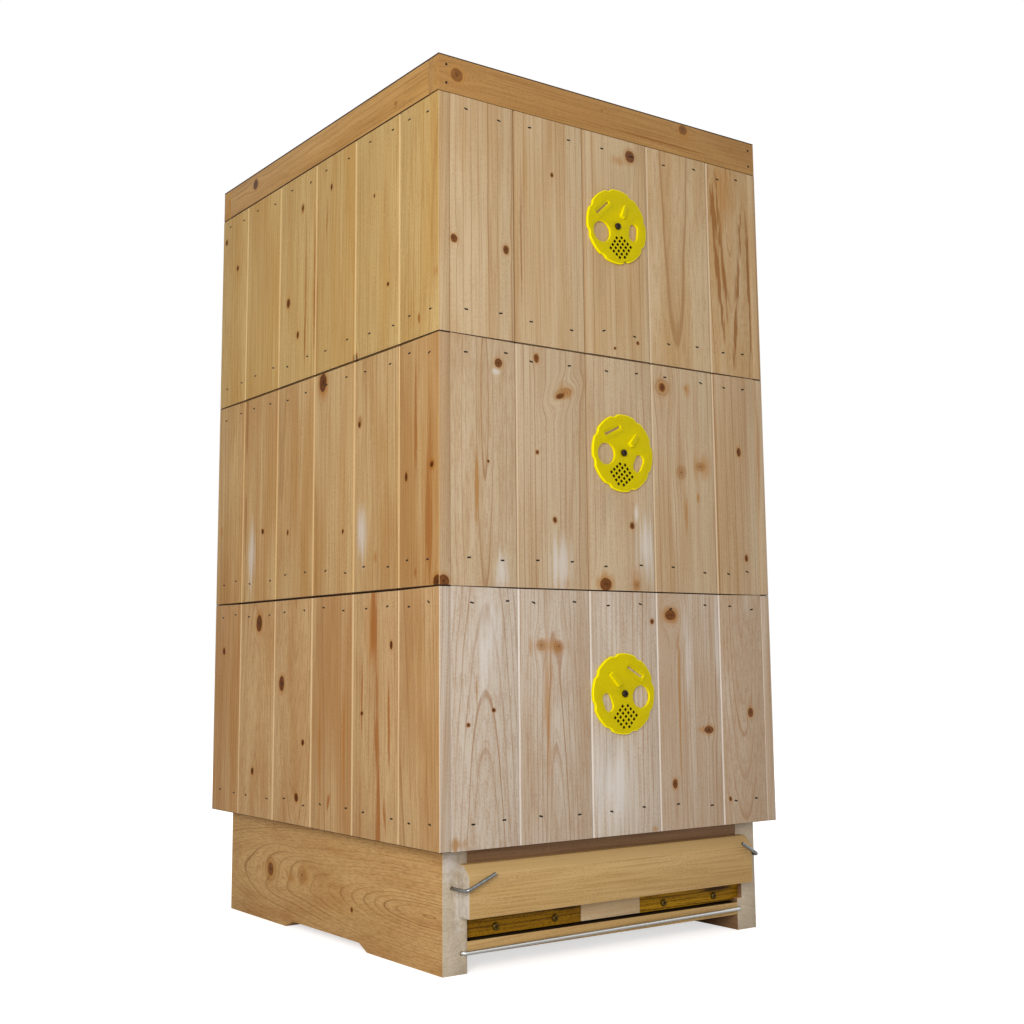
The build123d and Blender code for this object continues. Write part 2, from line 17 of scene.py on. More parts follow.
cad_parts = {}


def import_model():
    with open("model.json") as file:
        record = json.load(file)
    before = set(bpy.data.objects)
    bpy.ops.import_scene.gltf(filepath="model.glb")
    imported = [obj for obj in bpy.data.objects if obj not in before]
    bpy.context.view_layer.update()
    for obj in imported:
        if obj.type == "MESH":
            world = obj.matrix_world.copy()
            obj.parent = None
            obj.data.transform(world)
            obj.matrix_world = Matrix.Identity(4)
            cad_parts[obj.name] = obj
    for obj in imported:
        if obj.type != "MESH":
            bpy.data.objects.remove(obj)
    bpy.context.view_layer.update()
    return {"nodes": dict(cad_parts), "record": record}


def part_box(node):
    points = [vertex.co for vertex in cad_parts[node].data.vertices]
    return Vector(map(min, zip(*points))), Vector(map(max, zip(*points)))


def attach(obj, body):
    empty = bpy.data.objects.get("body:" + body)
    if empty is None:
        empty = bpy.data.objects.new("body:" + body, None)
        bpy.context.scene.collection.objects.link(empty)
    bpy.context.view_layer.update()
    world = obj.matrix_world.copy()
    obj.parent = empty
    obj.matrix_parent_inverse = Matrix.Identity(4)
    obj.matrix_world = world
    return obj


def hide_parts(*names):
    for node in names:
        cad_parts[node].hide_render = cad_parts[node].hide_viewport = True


LOG = logging.getLogger("beehive")
MM = 0.001
UP = Vector((0.0, 0.0, 1.0))

# A face looks one way if its normal reaches this far in that direction
SQUARE, DEAD_SQUARE = 0.9, 0.985
# Values of the "edge" attribute: broken edges, bevels with a painted highlight, seams painted with shade
BROKEN, GLEAMING, SEAM = 1.0, 1.5, 3.0
# Settings that many nodes share
SOFT = {"interpolation_type": "SMOOTHSTEP"}
COLOUR = {"data_type": "RGBA"}
HELD = {"use_clamp": True}

Finishes = dict[str, Material]
Input = NodeSocket | str | float | tuple | Vector | None


class Side(Enum):
    """Wall of the hive, seen from in front of it."""

    FRONT = "front"
    REAR = "rear"
    LEFT = "left"
    RIGHT = "right"

    @property
    def across(self) -> int:
        """Axis that runs along the wall."""
        return 0 if self in (Side.FRONT, Side.REAR) else 1

    @property
    def turn(self) -> Matrix:
        """Turn about +Z that takes a model facing -Y to face out of this wall."""
        degrees = {Side.FRONT: 0.0, Side.REAR: 180.0, Side.LEFT: -90.0, Side.RIGHT: 90.0}[self]
        return Matrix.Rotation(math.radians(degrees), 4, "Z")

    @property
    def outward(self) -> Vector:
        """Direction out of this wall."""
        return self.turn @ Vector((0.0, -1.0, 0.0))

    def face(self, node: str) -> float:
        """Place of a node's outer face on this side, in metres."""
        low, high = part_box(node)
        return (low if self in (Side.FRONT, Side.LEFT) else high)[1 - self.across]

    def spot(self, across: float, deep: float, up: float) -> Vector:
        """Turns what is meant along, into and up this wall into X, Y and Z."""
        return Vector((across, deep, up) if self.across == 0 else (deep, across, up))


class MarkKind(Enum):
    """Marks that a branch or resin left on a board, and pale patches, in the order in which they cover
    others.
    """

    STAIN = "golden stain"
    STREAK = "dark resin streak"
    # SHEEN is painted sheen, a painted highlight, on the bodies; on the posts it is a whitish smear
    SHEEN = "pale bloom"
    EYE = "pale ringed knot"
    KNOT = "dark knot"
    PIN = "small dark knot"

    @property
    def parts_grain(self) -> bool:
        """Whether the grain parts round the mark."""
        return self in (MarkKind.EYE, MarkKind.KNOT)

    @property
    def strength(self) -> float:
        """How strongly the mark shows, from 0 to 1."""
        return {"STAIN": 0.6, "STREAK": 0.85, "SHEEN": 0.6, "EYE": 0.5, "KNOT": 0.92, "PIN": 0.95}[self.name]

    @property
    def fade(self) -> tuple[float, float]:
        """Where a soft mark starts to fade and where it ends, in its radii."""
        return (-0.75, -0.1) if self is MarkKind.STREAK else (-1.0, 0.1)


class Spots(Enum):
    """Noise in the grain: how wide and how long its spots are, in millimetres, and how detailed it is."""

    BOW = (83.0, 455.0, 1.0)
    SWAY = (29.0, 91.0, 1.0)
    CALM = (50.0, 385.0, 1.0)
    BLOTCH = (33.0, 200.0, 2.0)
    BAND = (12.0, 625.0, 2.0)
    FEATHER = (4.2, 110.0, 2.0)
    # Real fibres and pores are finer, and these are as coarse as they need to be to show
    FIBRE = (1.3, 100.0, 3.0)
    PORE = (1.1, 2.0, 1.0)


class Pattern(Enum):
    """Pattern of a surface that isn't wood."""

    MOTTLE = "mottle"
    CELLS = "cells"


@dataclass(frozen=True)
class Mark:
    """A knot, stain or pale patch on one face of the hive, in millimetres.

    Args:
        across: place along the face, along X on the front and rear and along Y on the sides.
        up: height above the ground.
        width: size along the face.
        height: size up the face.
        kind: what the mark is.
        lean: how far it moves along the face for each unit up.
        depth: half of its size into the board.
    """

    across: float
    up: float
    width: float
    height: float
    kind: MarkKind
    lean: float = 0.0
    depth: float = 40.0

    def centre(self, side: Side, face: float) -> Vector:
        """Place of the mark on a face, in metres."""
        return side.spot(self.across * MM, face, self.up * MM)

    def stretch(self, side: Side) -> Vector:
        """One over the mark's half sizes, per metre."""
        return side.spot(2 / (self.width * MM), 1 / (self.depth * MM), 2 / (self.height * MM))


def marks_of(**rows: tuple[tuple[float, ...], ...]) -> tuple[Mark, ...]:
    """Marks of one face, listed by kind.

    Args:
        rows: across, up, width, height and, if it leans, lean of each mark, under the name of its kind.

    Returns:
        The marks.
    """
    return tuple(Mark(*row[:4], MarkKind[kind], *row[4:]) for kind, group in rows.items() for row in group)


@dataclass(frozen=True)
class Cut:
    """How a board was sawn from its log.

    Args:
        across: distance of the pith from the middle of the board's face, in millimetres.
        depth: distance of the pith behind the face, in millimetres.
        lean: how far the pith gains depth along the board, per unit of length.
        growth: ring width against the finish's own.
    """

    across: float
    depth: float
    lean: float
    growth: float = 1.0


@dataclass(frozen=True)
class Board:
    """One separate solid of a mesh: its vertex numbers and its box."""

    vertices: tuple[int, ...]
    low: Vector
    high: Vector

    @property
    def middle(self) -> Vector:
        """Middle of the box."""
        return (self.low + self.high) / 2


def linear(code: str) -> tuple[float, float, float, float]:
    """Turns an sRGB hex colour into the linear values that shaders take.

    Args:
        code: colour such as "#C8A878".

    Returns:
        Linear red, green, blue, and an alpha of 1.
    """
    toe, slope, offset, power = 0.04045, 12.92, 0.055, 2.4
    values = [int(code[place:place + 2], 16) / 255 for place in (1, 3, 5)]
    red, green, blue = [v / slope if v <= toe else ((v + offset) / (1 + offset)) ** power for v in values]
    return red, green, blue, 1.0


def new_material(name: str) -> tuple[Material, NodeTree]:
    """Starts a material whose tree holds only a linked Principled shader.

    Args:
        name: name of the real material and finish.

    Returns:
        The material and its tree.
    """
    material = bpy.data.materials.new(name)
    material.use_nodes = True
    return material, material.node_tree


@dataclass
class Nodes:
    """Node tree of a material or of the world."""

    tree: NodeTree

    def fill(self, socket: NodeSocket, value: Input) -> None:
        """Links or sets one input.

        Args:
            socket: the input.
            value: socket to link, sRGB hex colour or plain value. None leaves the input as it is.
        """
        if isinstance(value, NodeSocket):
            self.tree.links.new(value, socket)
        elif value is not None:
            socket.default_value = linear(value) if isinstance(value, str) else value

    def add(self, kind: str, *inputs: Input, output: str = "", **settings: str | bool) -> NodeSocket:
        """Adds a node with its settings and links.

        Args:
            kind: node type without the "ShaderNode" in front.
            inputs: values of the inputs that these settings leave in use, in their order.
            output: name of the wanted output, if it isn't the first in use.
            settings: options of the node by name.

        Returns:
            The output.
        """
        node = self.tree.nodes.new("ShaderNode" + kind)
        for name, value in settings.items():
            setattr(node, name, value)
        for socket, value in zip([live for live in node.inputs if live.enabled], inputs):
            self.fill(socket, value)
        return next(live for live in node.outputs if live.enabled and output in ("", live.name))

    def shade(self, kind: str, **inputs: Input) -> None:
        """Fills inputs of the tree's own shader.

        Args:
            kind: type of the shader.
            inputs: values by the input's name, with _ for spaces.
        """
        shader = next(node for node in self.tree.nodes if node.type == kind)
        for name, value in inputs.items():
            self.fill(shader.inputs[name.replace("_", " ")], value)


@dataclass(frozen=True)
class PineFinish:
    """Planed pine. Light earlywood and thin brown latewood lines give the eye its figure.

    The rings are drawn round the pith of each board, from the board's own "grain" attribute, so that faces
    show long arches or straight lines and ends show arcs. The lines part round knots. The "edge" attribute
    is 1 on bevels and broken edges, up to 2 on bevels with a painted highlight, and 3 at the seams, which
    are painted dark as the shade between bodies. Colours are sRGB, and shares and strengths run from 0 to 1.

    Args:
        name: name of the real material and finish.
        pale: colour of the palest wood.
        warm: colour of the warmest wood.
        late: colour of latewood and fibres.
        edge: colour of bevels and broken edges: a painted highlight where it is paler than the wood, and
            painted shade on the roof's side boards.
        bloom: colour of pale patches: painted sheen on the bodies, a whitish smear on the posts.
        core: colour of knots.
        rim: colour of a dark knot's heart and rim.
        halo: colour of stains and of the wood round knots.
        resin: colour of resin streaks.
        gleam: colour of the painted highlight on gleaming bevels.
        seam: colour of the seams between bodies, painted dark as their shade.
        ring_width: width of a year's ring in millimetres.
        line_share: share of latewood in a ring.
        calm: strength of the latewood where it is weakest.
        contrast: strength of the latewood.
        bands: strength of the long bands.
        fibres: strength of the fibres.
        edge_share: strength of the edge colour.
        roughness: middle of the roughness.
        specular: specular level of the shader.
        lying: whether the grain runs along the wall.
    """

    name: str
    pale: str
    warm: str
    late: str
    edge: str
    bloom: str = "#D9D3CC"
    core: str = "#723C14"
    rim: str = "#361A08"
    halo: str = "#AC783A"
    resin: str = "#8C5A2A"
    gleam: str = "#E2D2B4"
    seam: str = "#2E2420"
    ring_width: float = 6.0
    line_share: float = 0.24
    calm: float = 0.3
    contrast: float = 0.75
    bands: float = 0.3
    fibres: float = 0.3
    edge_share: float = 0.6
    roughness: float = 0.52
    specular: float = 0.12
    lying: bool = False

    def build(self, side: Side = Side.FRONT, face: float = 0.0, marks: tuple[Mark, ...] = ()) -> Material:
        """Makes the material.

        Args:
            side: side of the hive that the marks lie on.
            face: place of that face in metres.
            marks: knots, stains and pale patches of this piece.

        Returns:
            The material.
        """
        material, tree = new_material(self.name)
        PineNodes(tree, self, side, face).dress(marks)
        return material

    def for_wall(self, side: Side, node: str, marks: tuple[Mark, ...]) -> Material:
        """Makes the material of a node on one side of the hive, named for that side."""
        return replace(self, name=f"{self.name}_{side.value}").build(side, side.face(node), marks)


@dataclass
class PineNodes(Nodes):
    """Nodes of one pine: its grain, and its marks on one face of the hive."""

    finish: PineFinish
    side: Side
    face: float

    def dress(self, marks: tuple[Mark, ...]) -> None:
        """Adds everything and links it to the shader.

        Args:
            marks: knots, stains and pale patches of this piece.
        """
        pine = self.finish
        coords = self.add("TexCoord", output="Object")
        grain = self.add("Attribute", output="Vector", attribute_name="grain")
        grain = self._parted(coords, grain, [mark for mark in marks if mark.kind.parts_grain])
        line, fibre, feather = self._figure(grain)
        colour = self._clear_wood(grain, line, fibre)
        colour = self._marked(colour, self._wavy(coords), feather, marks)
        # Edge colour, painted highlight on gleaming bevels and painted shade at the seams, over the wood
        edge = self.add("Attribute", output="Fac", attribute_name="edge")
        share = self.add("Math", edge, pine.edge_share, operation="MULTIPLY", **HELD)
        colour = self.add("Mix", share, colour, pine.edge, **COLOUR)
        for level, tint in ((1.0, pine.gleam), (2.0, pine.seam)):
            share = self.add("Math", edge, level, operation="SUBTRACT", **HELD)
            colour = self.add("Mix", share, colour, tint, **COLOUR)
        swing, proud, bump_share = 0.1, 0.15 * MM, 0.25
        rough = self.add("MapRange", fibre, 0.0, 1.0, pine.roughness - swing, pine.roughness + swing)
        relief = self.add("Math", fibre, 0.5, line, operation="MULTIPLY_ADD")
        bump = self.add("Bump", bump_share, proud, None, relief)
        self.shade("BSDF_PRINCIPLED", Base_Color=colour, Roughness=rough, Normal=bump,
                   Specular_IOR_Level=pine.specular)

    def _drawn_out(self, grain: NodeSocket, spots: Spots) -> NodeSocket:
        """Noise that is drawn out along the grain.

        Args:
            grain: place in the log.
            spots: size of its spots.

        Returns:
            A socket with the noise, from 0 to 1.
        """
        across, along, detail = spots.value
        scale = (1 / (across * MM), 1 / (across * MM), 1 / (along * MM))
        stretched = self.add("VectorMath", grain, scale, operation="MULTIPLY")
        return self.add("TexNoise", stretched, 1.0, detail)

    def _wavy(self, coords: NodeSocket) -> NodeSocket:
        """Gives places a small wave, so that marks aren't perfect ovals.

        Args:
            coords: place on the board.

        Returns:
            A socket with the moved place.
        """
        size, length, detail = 1.8 * MM, 7.7 * MM, 3.0
        noise = self.add("TexNoise", coords, 1 / length, detail, output="Color")
        shift = self.add("VectorMath", noise, (size,) * 3, (-size / 2,) * 3, operation="MULTIPLY_ADD")
        return self.add("VectorMath", coords, shift, operation="ADD")

    def _local(self, place: NodeSocket, mark: Mark) -> NodeSocket:
        """Place seen from the middle of a mark.

        Args:
            place: place on the board.
            mark: the mark.

        Returns:
            A socket with the place in radii of the mark.
        """
        if mark.lean:
            height = self.add("SeparateXYZ", place, output="Z")
            slide = self.add("Math", height, -mark.lean, mark.lean * mark.up * MM, operation="MULTIPLY_ADD")
            shift = self.add("CombineXYZ", *[None] * self.side.across, slide)
            place = self.add("VectorMath", place, shift, operation="ADD")
        stretch = mark.stretch(self.side)
        start = -mark.centre(self.side, self.face) * stretch
        return self.add("VectorMath", place, stretch, start, operation="MULTIPLY_ADD")

    def _nearest(self, place: NodeSocket, marks: list[Mark]) -> NodeSocket:
        """Distance to the nearest of some marks.

        Args:
            place: place on the board.
            marks: marks to measure to.

        Returns:
            A socket with the distance in radii of the mark.
        """
        away = [self.add("VectorMath", self._local(place, mark), operation="LENGTH") for mark in marks]
        return reduce(lambda first, second: self.add("Math", first, second, operation="MINIMUM"), away)

    def _parted(self, coords: NodeSocket, grain: NodeSocket, knots: list[Mark]) -> NodeSocket:
        """Grain that parts round knots and closes again above and below them.

        Args:
            coords: place on the board.
            grain: place in the log: across, deep and along.
            knots: knots of the piece.

        Returns:
            A socket with the shifted place in the log.
        """
        beside, beyond, hold = 2.6, 5.5, 0.85
        lying = self.finish.lying
        for knot in knots:
            wide, high = (beyond, beside) if lying else (beside, beyond)
            zone = replace(knot, width=knot.width * wide, height=knot.height * high)
            local = self._local(coords, zone)
            away = self.add("VectorMath", local, operation="LENGTH")
            offset = self.add("SeparateXYZ", local, output="Z" if lying else "XY"[self.side.across])
            radius = (zone.height if lying else zone.width) / 2 * MM
            share = self.add("MapRange", away, 0.0, 1.0, -hold * radius, 0.0, **SOFT)
            pull = self.add("Math", offset, share, operation="MULTIPLY")
            grain = self.add("VectorMath", grain, self.add("CombineXYZ", pull), operation="ADD")
        return grain

    def _figure(self, grain: NodeSocket) -> tuple[NodeSocket, NodeSocket, NodeSocket]:
        """Latewood lines, fine fibres and broad feathers.

        Args:
            grain: place in the log, in metres: across, deep and along.

        Returns:
            Sockets with the strength of the latewood lines, the fibres and the feathers, from 0 to 1.
        """
        bow, sway, uneven_length = 9.0 * MM, 2.4 * MM, 25.0 * MM
        uneven_years, strong_spread, weak_spread = 2.2, 1.3, 1.0
        weak_pace, weak_share, pore_share = 2.6, 0.25, 0.5
        flat = self.add("VectorMath", grain, (1.0, 1.0, 0.0), operation="MULTIPLY")
        radius = self.add("VectorMath", flat, operation="LENGTH")
        for size, spots in ((bow, Spots.BOW), (sway, Spots.SWAY)):
            radius = self.add("Math", self._drawn_out(grain, spots), size, radius, operation="MULTIPLY_ADD")
        slow = self.add("Math", radius, 1 / uneven_length, operation="MULTIPLY")
        uneven = self.add("TexNoise", slow, 1.0, 1.0, noise_dimensions="1D")
        phase = self.add("Math", radius, 1 / (self.finish.ring_width * MM), operation="MULTIPLY")
        phase = self.add("Math", uneven, uneven_years, phase, operation="MULTIPLY_ADD")
        strong = self._rings(phase, strong_spread)
        weak = self._rings(self.add("Math", phase, weak_pace, operation="MULTIPLY"), weak_spread)
        line = self.add("Math", weak, weak_share, strong, operation="MULTIPLY_ADD", **HELD)
        calm = self._drawn_out(grain, Spots.CALM)
        calm = self.add("MapRange", calm, 0.34, 0.6, self.finish.calm, 1.0, **SOFT)
        line = self.add("Math", line, calm, operation="MULTIPLY")
        pore = self.add("Math", self._drawn_out(grain, Spots.PORE), 0.5, operation="SUBTRACT")
        fibre = self._drawn_out(grain, Spots.FIBRE)
        fibre = self.add("Math", pore, pore_share, fibre, operation="MULTIPLY_ADD")
        return line, fibre, self._drawn_out(grain, Spots.FEATHER)

    def _rings(self, phase: NodeSocket, spread: float) -> NodeSocket:
        """Year rings: each darkens slowly and ends in a thin line, and some are much stronger than others.

        Args:
            phase: place among the rings, one unit to a year.
            spread: the higher, the fewer strong years.

        Returns:
            A socket with the darkness, from 0 to 1.
        """
        share, weakest, summer = self.finish.line_share, 0.15, 0.15
        season = self.add("Math", phase, operation="FRACT")
        luck = self.add("TexWhiteNoise", self.add("Math", phase, operation="FLOOR"), noise_dimensions="1D")
        year = self.add("Math", luck, spread, operation="POWER")
        year = self.add("MapRange", year, 0.0, 1.0, weakest, 1.0)
        slow = self.add("MapRange", season, 0.3, 1.0, 0.0, summer, **SOFT)
        crisp = self.add("MapRange", season, 1 - share, 1 - 0.4 * share, 0.0, 1 - summer, **SOFT)
        end = self.add("MapRange", season, 1 - 0.2 * share, 1.0, 1.0, 0.0, **SOFT)
        dark = self.add("Math", self.add("Math", slow, crisp, operation="ADD"), end, operation="MULTIPLY")
        return self.add("Math", dark, year, operation="MULTIPLY")

    def _laid(self, value: NodeSocket, step: tuple[float, ...], under: Input, over: Input) -> NodeSocket:
        """Lays one colour over another by a soft step.

        Args:
            value: what the step depends on.
            step: values where it starts and ends, and how much of the upper colour shows there.
            under: lower colour.
            over: upper colour.

        Returns:
            A socket with the colour.
        """
        return self.add("Mix", self.add("MapRange", value, *step, **SOFT), under, over, **COLOUR)

    def _clear_wood(self, grain: NodeSocket, line: NodeSocket, fibre: NodeSocket) -> NodeSocket:
        """Clear wood: board tone, slow blotches, long bands, latewood and fibres.

        Args:
            grain: place in the log.
            line: strength of the latewood lines.
            fibre: strength of the fibres.

        Returns:
            A socket with the colour.
        """
        pine, blotches = self.finish, 0.35
        warmth = self.add("Attribute", output="Fac", attribute_name="tone")
        for size, spots in ((blotches, Spots.BLOTCH), (pine.bands, Spots.BAND)):
            swing = self.add("MapRange", self._drawn_out(grain, spots), 0.3, 0.7, -size, size)
            warmth = self.add("Math", warmth, swing, operation="ADD")
        clear = self._laid(warmth, (-0.1, 1.1, 0.0, 1.0), pine.pale, pine.warm)
        share = self.add("Math", line, pine.contrast, operation="MULTIPLY")
        ringed = self.add("Mix", share, clear, pine.late, **COLOUR)
        return self._laid(fibre, (0.42, 0.68, 0.0, pine.fibres), ringed, pine.late)

    def _marked(self, wood: NodeSocket, place: NodeSocket, feather: NodeSocket,
                marks: tuple[Mark, ...]) -> NodeSocket:
        """Clear wood with all its marks, kind by kind.

        Args:
            wood: colour of the clear wood.
            place: place on the board.
            feather: strength of the feathers, which fray the soft marks.
            marks: knots, stains and pale patches of the piece.

        Returns:
            A socket with the colour.
        """
        pine, frayed = self.finish, -2.0
        # Pale patches: painted sheen on the bodies, a whitish smear on the posts
        tints = {MarkKind.SHEEN: pine.bloom, MarkKind.STAIN: pine.halo, MarkKind.STREAK: pine.resin}
        for kind in MarkKind:
            chosen = [mark for mark in marks if mark.kind is kind]
            if not chosen:
                continue
            distance = self._nearest(place, chosen)
            if kind in tints:
                distance = self.add("Math", feather, frayed, distance, operation="MULTIPLY_ADD")
                wood = self._laid(distance, (*kind.fade, kind.strength, 0.0), wood, tints[kind])
            elif kind is MarkKind.EYE:
                wood = self._eye(wood, distance, kind.strength)
            else:
                wood = self._knot(wood, place, distance, kind.strength)
        return wood

    def _knot(self, wood: NodeSocket, place: NodeSocket, distance: NodeSocket,
              strength: float) -> NodeSocket:
        """Knots over clear wood: a golden halo and an uneven dark core, darkest at its heart and its rim.

        Args:
            wood: colour of the clear wood.
            place: place on the board.
            distance: distance to the nearest knot, in its radii.
            strength: how dark the knots are, from 0 to 1.

        Returns:
            A socket with the colour.
        """
        pine, patch_size, detail, waves, wave_share = self.finish, 3.1 * MM, 3.0, 13.0, 0.12
        halo = (0.8, 1.3 + 0.7 * strength, 0.15 + 0.5 * strength, 0.0)
        around = self._laid(distance, halo, wood, pine.halo)
        patches = self.add("TexNoise", place, 1 / patch_size, detail)
        patches = self.add("MapRange", patches, 0.35, 0.65, 0.0, 0.5, **SOFT)
        wave = self.add("Math", self.add("Math", distance, waves, operation="MULTIPLY"), operation="SINE")
        dark = self.add("Math", wave, wave_share, patches, operation="MULTIPLY_ADD")
        heart = self.add("MapRange", distance, 0.1, 0.6, 0.5, 0.0, **SOFT)
        dark = self.add("Math", dark, heart, operation="ADD")
        rim = self.add("MapRange", distance, 0.7, 0.95, 0.0, 0.3, **SOFT)
        dark = self.add("Math", dark, rim, operation="ADD", **HELD)
        core = self._laid(dark, (0.0, 1.0, strength, 1.0), pine.halo, pine.core)
        share = self.add("Math", dark, strength, operation="MULTIPLY")
        core = self.add("Mix", share, core, pine.rim, **COLOUR)
        return self._laid(distance, (0.9, 1.07, 0.15 + 0.85 * strength, 0.0), around, core)

    def _eye(self, wood: NodeSocket, distance: NodeSocket, strength: float) -> NodeSocket:
        """Pale knots over clear wood: a golden ground, thin brown rings and a brown heart.

        Args:
            wood: colour of the clear wood.
            distance: distance to the nearest knot, in its radii.
            strength: how dark the rings are, from 0 to 1.

        Returns:
            A socket with the colour.
        """
        waves, heart_share = 19.0, 0.75
        ground = self._laid(distance, (0.5, 1.4, 0.4, 0.0), wood, self.finish.halo)
        wave = self.add("Math", self.add("Math", distance, waves, operation="MULTIPLY"), operation="SINE")
        rings = self.add("MapRange", wave, 0.1, 1.0, 0.1, strength, **SOFT)
        reach = self.add("MapRange", distance, 0.6, 1.1, 1.0, 0.0, **SOFT)
        rings = self.add("Math", rings, reach, operation="MULTIPLY")
        heart = self.add("MapRange", distance, 0.05, 0.4, heart_share, 0.0, **SOFT)
        share = self.add("Math", rings, heart, operation="MAXIMUM")
        return self.add("Mix", share, ground, self.finish.core, **COLOUR)


@dataclass(frozen=True)
class GrainyFinish:
    """A surface that isn't wood, with a fine pattern of its own: plastic, zinc, wax, softboard or sheet.

    Args:
        name: name of the real material and finish.
        base: main sRGB colour.
        second: sRGB colour of the pattern.
        grit: size of the pattern in millimetres.
        roughness: middle of the roughness.
        swing: how far the roughness varies.
        metallic: 1 for bare metal.
        relief: height of the bump in millimetres.
        specular: specular level of the shader.
        pattern: kind of pattern.
        edge: sRGB colour of faces whose "edge" attribute is 1, if any; on the disc a painted highlight.
        hollow: sRGB colour of faces whose "hollow" attribute is 1, if any; on the disc the painted shade of
            its vents.
    """

    name: str
    base: str
    second: str
    grit: float
    roughness: float
    swing: float = 0.06
    metallic: float = 0.0
    relief: float = 0.05
    specular: float = 0.5
    pattern: Pattern = Pattern.MOTTLE
    edge: str = ""
    hollow: str = ""

    def build(self) -> Material:
        """Makes the material.

        Returns:
            The material.
        """
        material, tree = new_material(self.name)
        nodes = Nodes(tree)
        coords = nodes.add("TexCoord", output="Object")
        scale, detail, unevenness, bump_share = 1 / (self.grit * MM), 4.0, 0.15, 0.3
        if self.pattern is Pattern.CELLS:
            unset = [None] * 3
            value = nodes.add("TexVoronoi", coords, scale, *unset, unevenness, feature="DISTANCE_TO_EDGE")
        else:
            value = nodes.add("TexNoise", coords, scale, detail)
        low, high = self.roughness - self.swing, self.roughness + self.swing
        rough = nodes.add("MapRange", value, 0.0, 1.0, low, high)
        bump = nodes.add("Bump", bump_share, self.relief * MM, None, value)
        colour = nodes.add("Mix", value, self.base, self.second, **COLOUR)
        for attribute, tint in (("edge", self.edge), ("hollow", self.hollow)):
            if tint:
                share = nodes.add("Attribute", output="Fac", attribute_name=attribute)
                colour = nodes.add("Mix", share, colour, tint, **COLOUR)
        nodes.shade("BSDF_PRINCIPLED", Base_Color=colour, Roughness=rough, Normal=bump,
                    Metallic=self.metallic, Specular_IOR_Level=self.specular)
        return material


# Bar pine: golden brown, with near-black streaks along its top, partly painted shadow of the board above and
# partly stain
BAR_PINE = PineFinish("darkened_bar_pine", "#BE8E10", "#966A04", "#3A2004", "#7A5A14", resin="#2E1604",
                      contrast=0.9, fibres=0.6)
# The flanks are seen aslant, so they are duller than the front, and their knots are darker and warmer
FLANK_LOOK = {"bands": 0.2, "core": "#62300C", "rim": "#2A1204", "halo": "#A86A28", "specular": 0.03}

# The grit of real metal, plastic and wax is finer, and it is drawn as coarse as it needs to be to show
SHARED = {
    # Planed inner pine: fresh and pale, because no light reaches it
    "planed": PineFinish("planed_inner_pine", "#D0B486", "#C29D69", "#9C6E3C", "#D8C098", contrast=0.55),
    # Planed board pine: even and golden, with more fibres than lines
    "board": PineFinish("planed_board_pine", "#CAA974", "#BC9760", "#98733E", "#C8A670", ring_width=3.4,
                        contrast=0.3, fibres=0.45),
    # Fresh block pine: the palest wood at the entrance
    "block": PineFinish("fresh_block_pine", "#D4BC96", "#C8AA80", "#A78258", "#DCC8A6", contrast=0.4),
    # Rail pine with painted shade: greyish brown, darkened to stand for the shadow under the bodies
    "shadowed": PineFinish("dusty_rail_pine", "#9A7858", "#886648", "#5C422C", "#9A7858", contrast=0.4),
    # Sill pine with painted shade: almost black, standing for the shadow in the gap above the sill
    "dark": PineFinish("shaded_sill_pine", "#3A2C1C", "#2C2014", "#1C140C", "#54422C", contrast=0.5),
    # Moulded ABS: strong flat colour with a soft gloss, a painted highlight on its edges and painted shade
    # in its vents
    "plastic": GrainyFinish("yellow_moulded_abs", "#D0BE00", "#C4B000", 3.0, 0.4, 0.05, specular=0.08,
                            edge="#FFEE00", hollow="#3C3208"),
    # Bronzed steel: dark brown and half matt
    "bronze": GrainyFinish("bronzed_steel", "#3A2A1C", "#241810", 0.8, 0.45, metallic=0.6),
    # Galvanised wire: pale grey zinc with small spangles
    "wire": GrainyFinish("galvanised_steel_wire", "#E6E6E4", "#B8BAB9", 1.6, 0.3, 0.1, metallic=1.0),
    # Worn wire: the same zinc, darker where hands turn it
    "hook": GrainyFinish("worn_galvanised_wire", "#A6A7A6", "#66676B", 2.2, 0.26, 0.08, metallic=1.0),
    # Woven mesh: the same zinc, painted darker grey to stand for the shade in the gap under the bars
    "mesh": GrainyFinish("galvanised_mesh_painted_shade", "#7E7B74", "#5C5952", 1.2, 0.55, 0.1, metallic=0.7),
    # Staple wire: dark and dull after it was driven into the wood
    "staple": GrainyFinish("dulled_staple_wire", "#261C15", "#130E0A", 0.9, 0.6, metallic=0.1,
                           specular=0.2),
    # Passivated screws: dull gold
    "passivated": GrainyFinish("yellow_passivated_steel", "#7A6230", "#42320F", 0.9, 0.35, metallic=0.9),
    # Coated roof sheet: even dark brown with a slow ripple from its coil
    "sheet": GrainyFinish("brown_coated_steel_sheet", "#4B3833", "#3F2E2A", 14.0, 0.6, 0.05, relief=0.2,
                          specular=0.12),
    # Softboard: pressed wood fibres, rough and brown
    "softboard": GrainyFinish("wood_fibre_softboard", "#8A6B48", "#6B5034", 1.2, 0.9, relief=0.4,
                              specular=0.2),
    # Wax foundation: honey colour, embossed with cells
    "wax": GrainyFinish("embossed_wax_foundation", "#C2933A", "#E6C26A", 5.2, 0.5, relief=0.6,
                        pattern=Pattern.CELLS),
    # Tray sheet: smooth white plastic
    "tray": GrainyFinish("white_polypropylene_sheet", "#E6E6DF", "#DADAD2", 6.0, 0.4),
}


def alone(piece: Piece) -> Piece:
    """Makes a piece the only selected and active one.

    Args:
        piece: object to select.

    Returns:
        The same object.
    """
    for other in bpy.context.selected_objects:
        other.select_set(False)
    piece.select_set(True)
    bpy.context.view_layer.objects.active = piece
    return piece


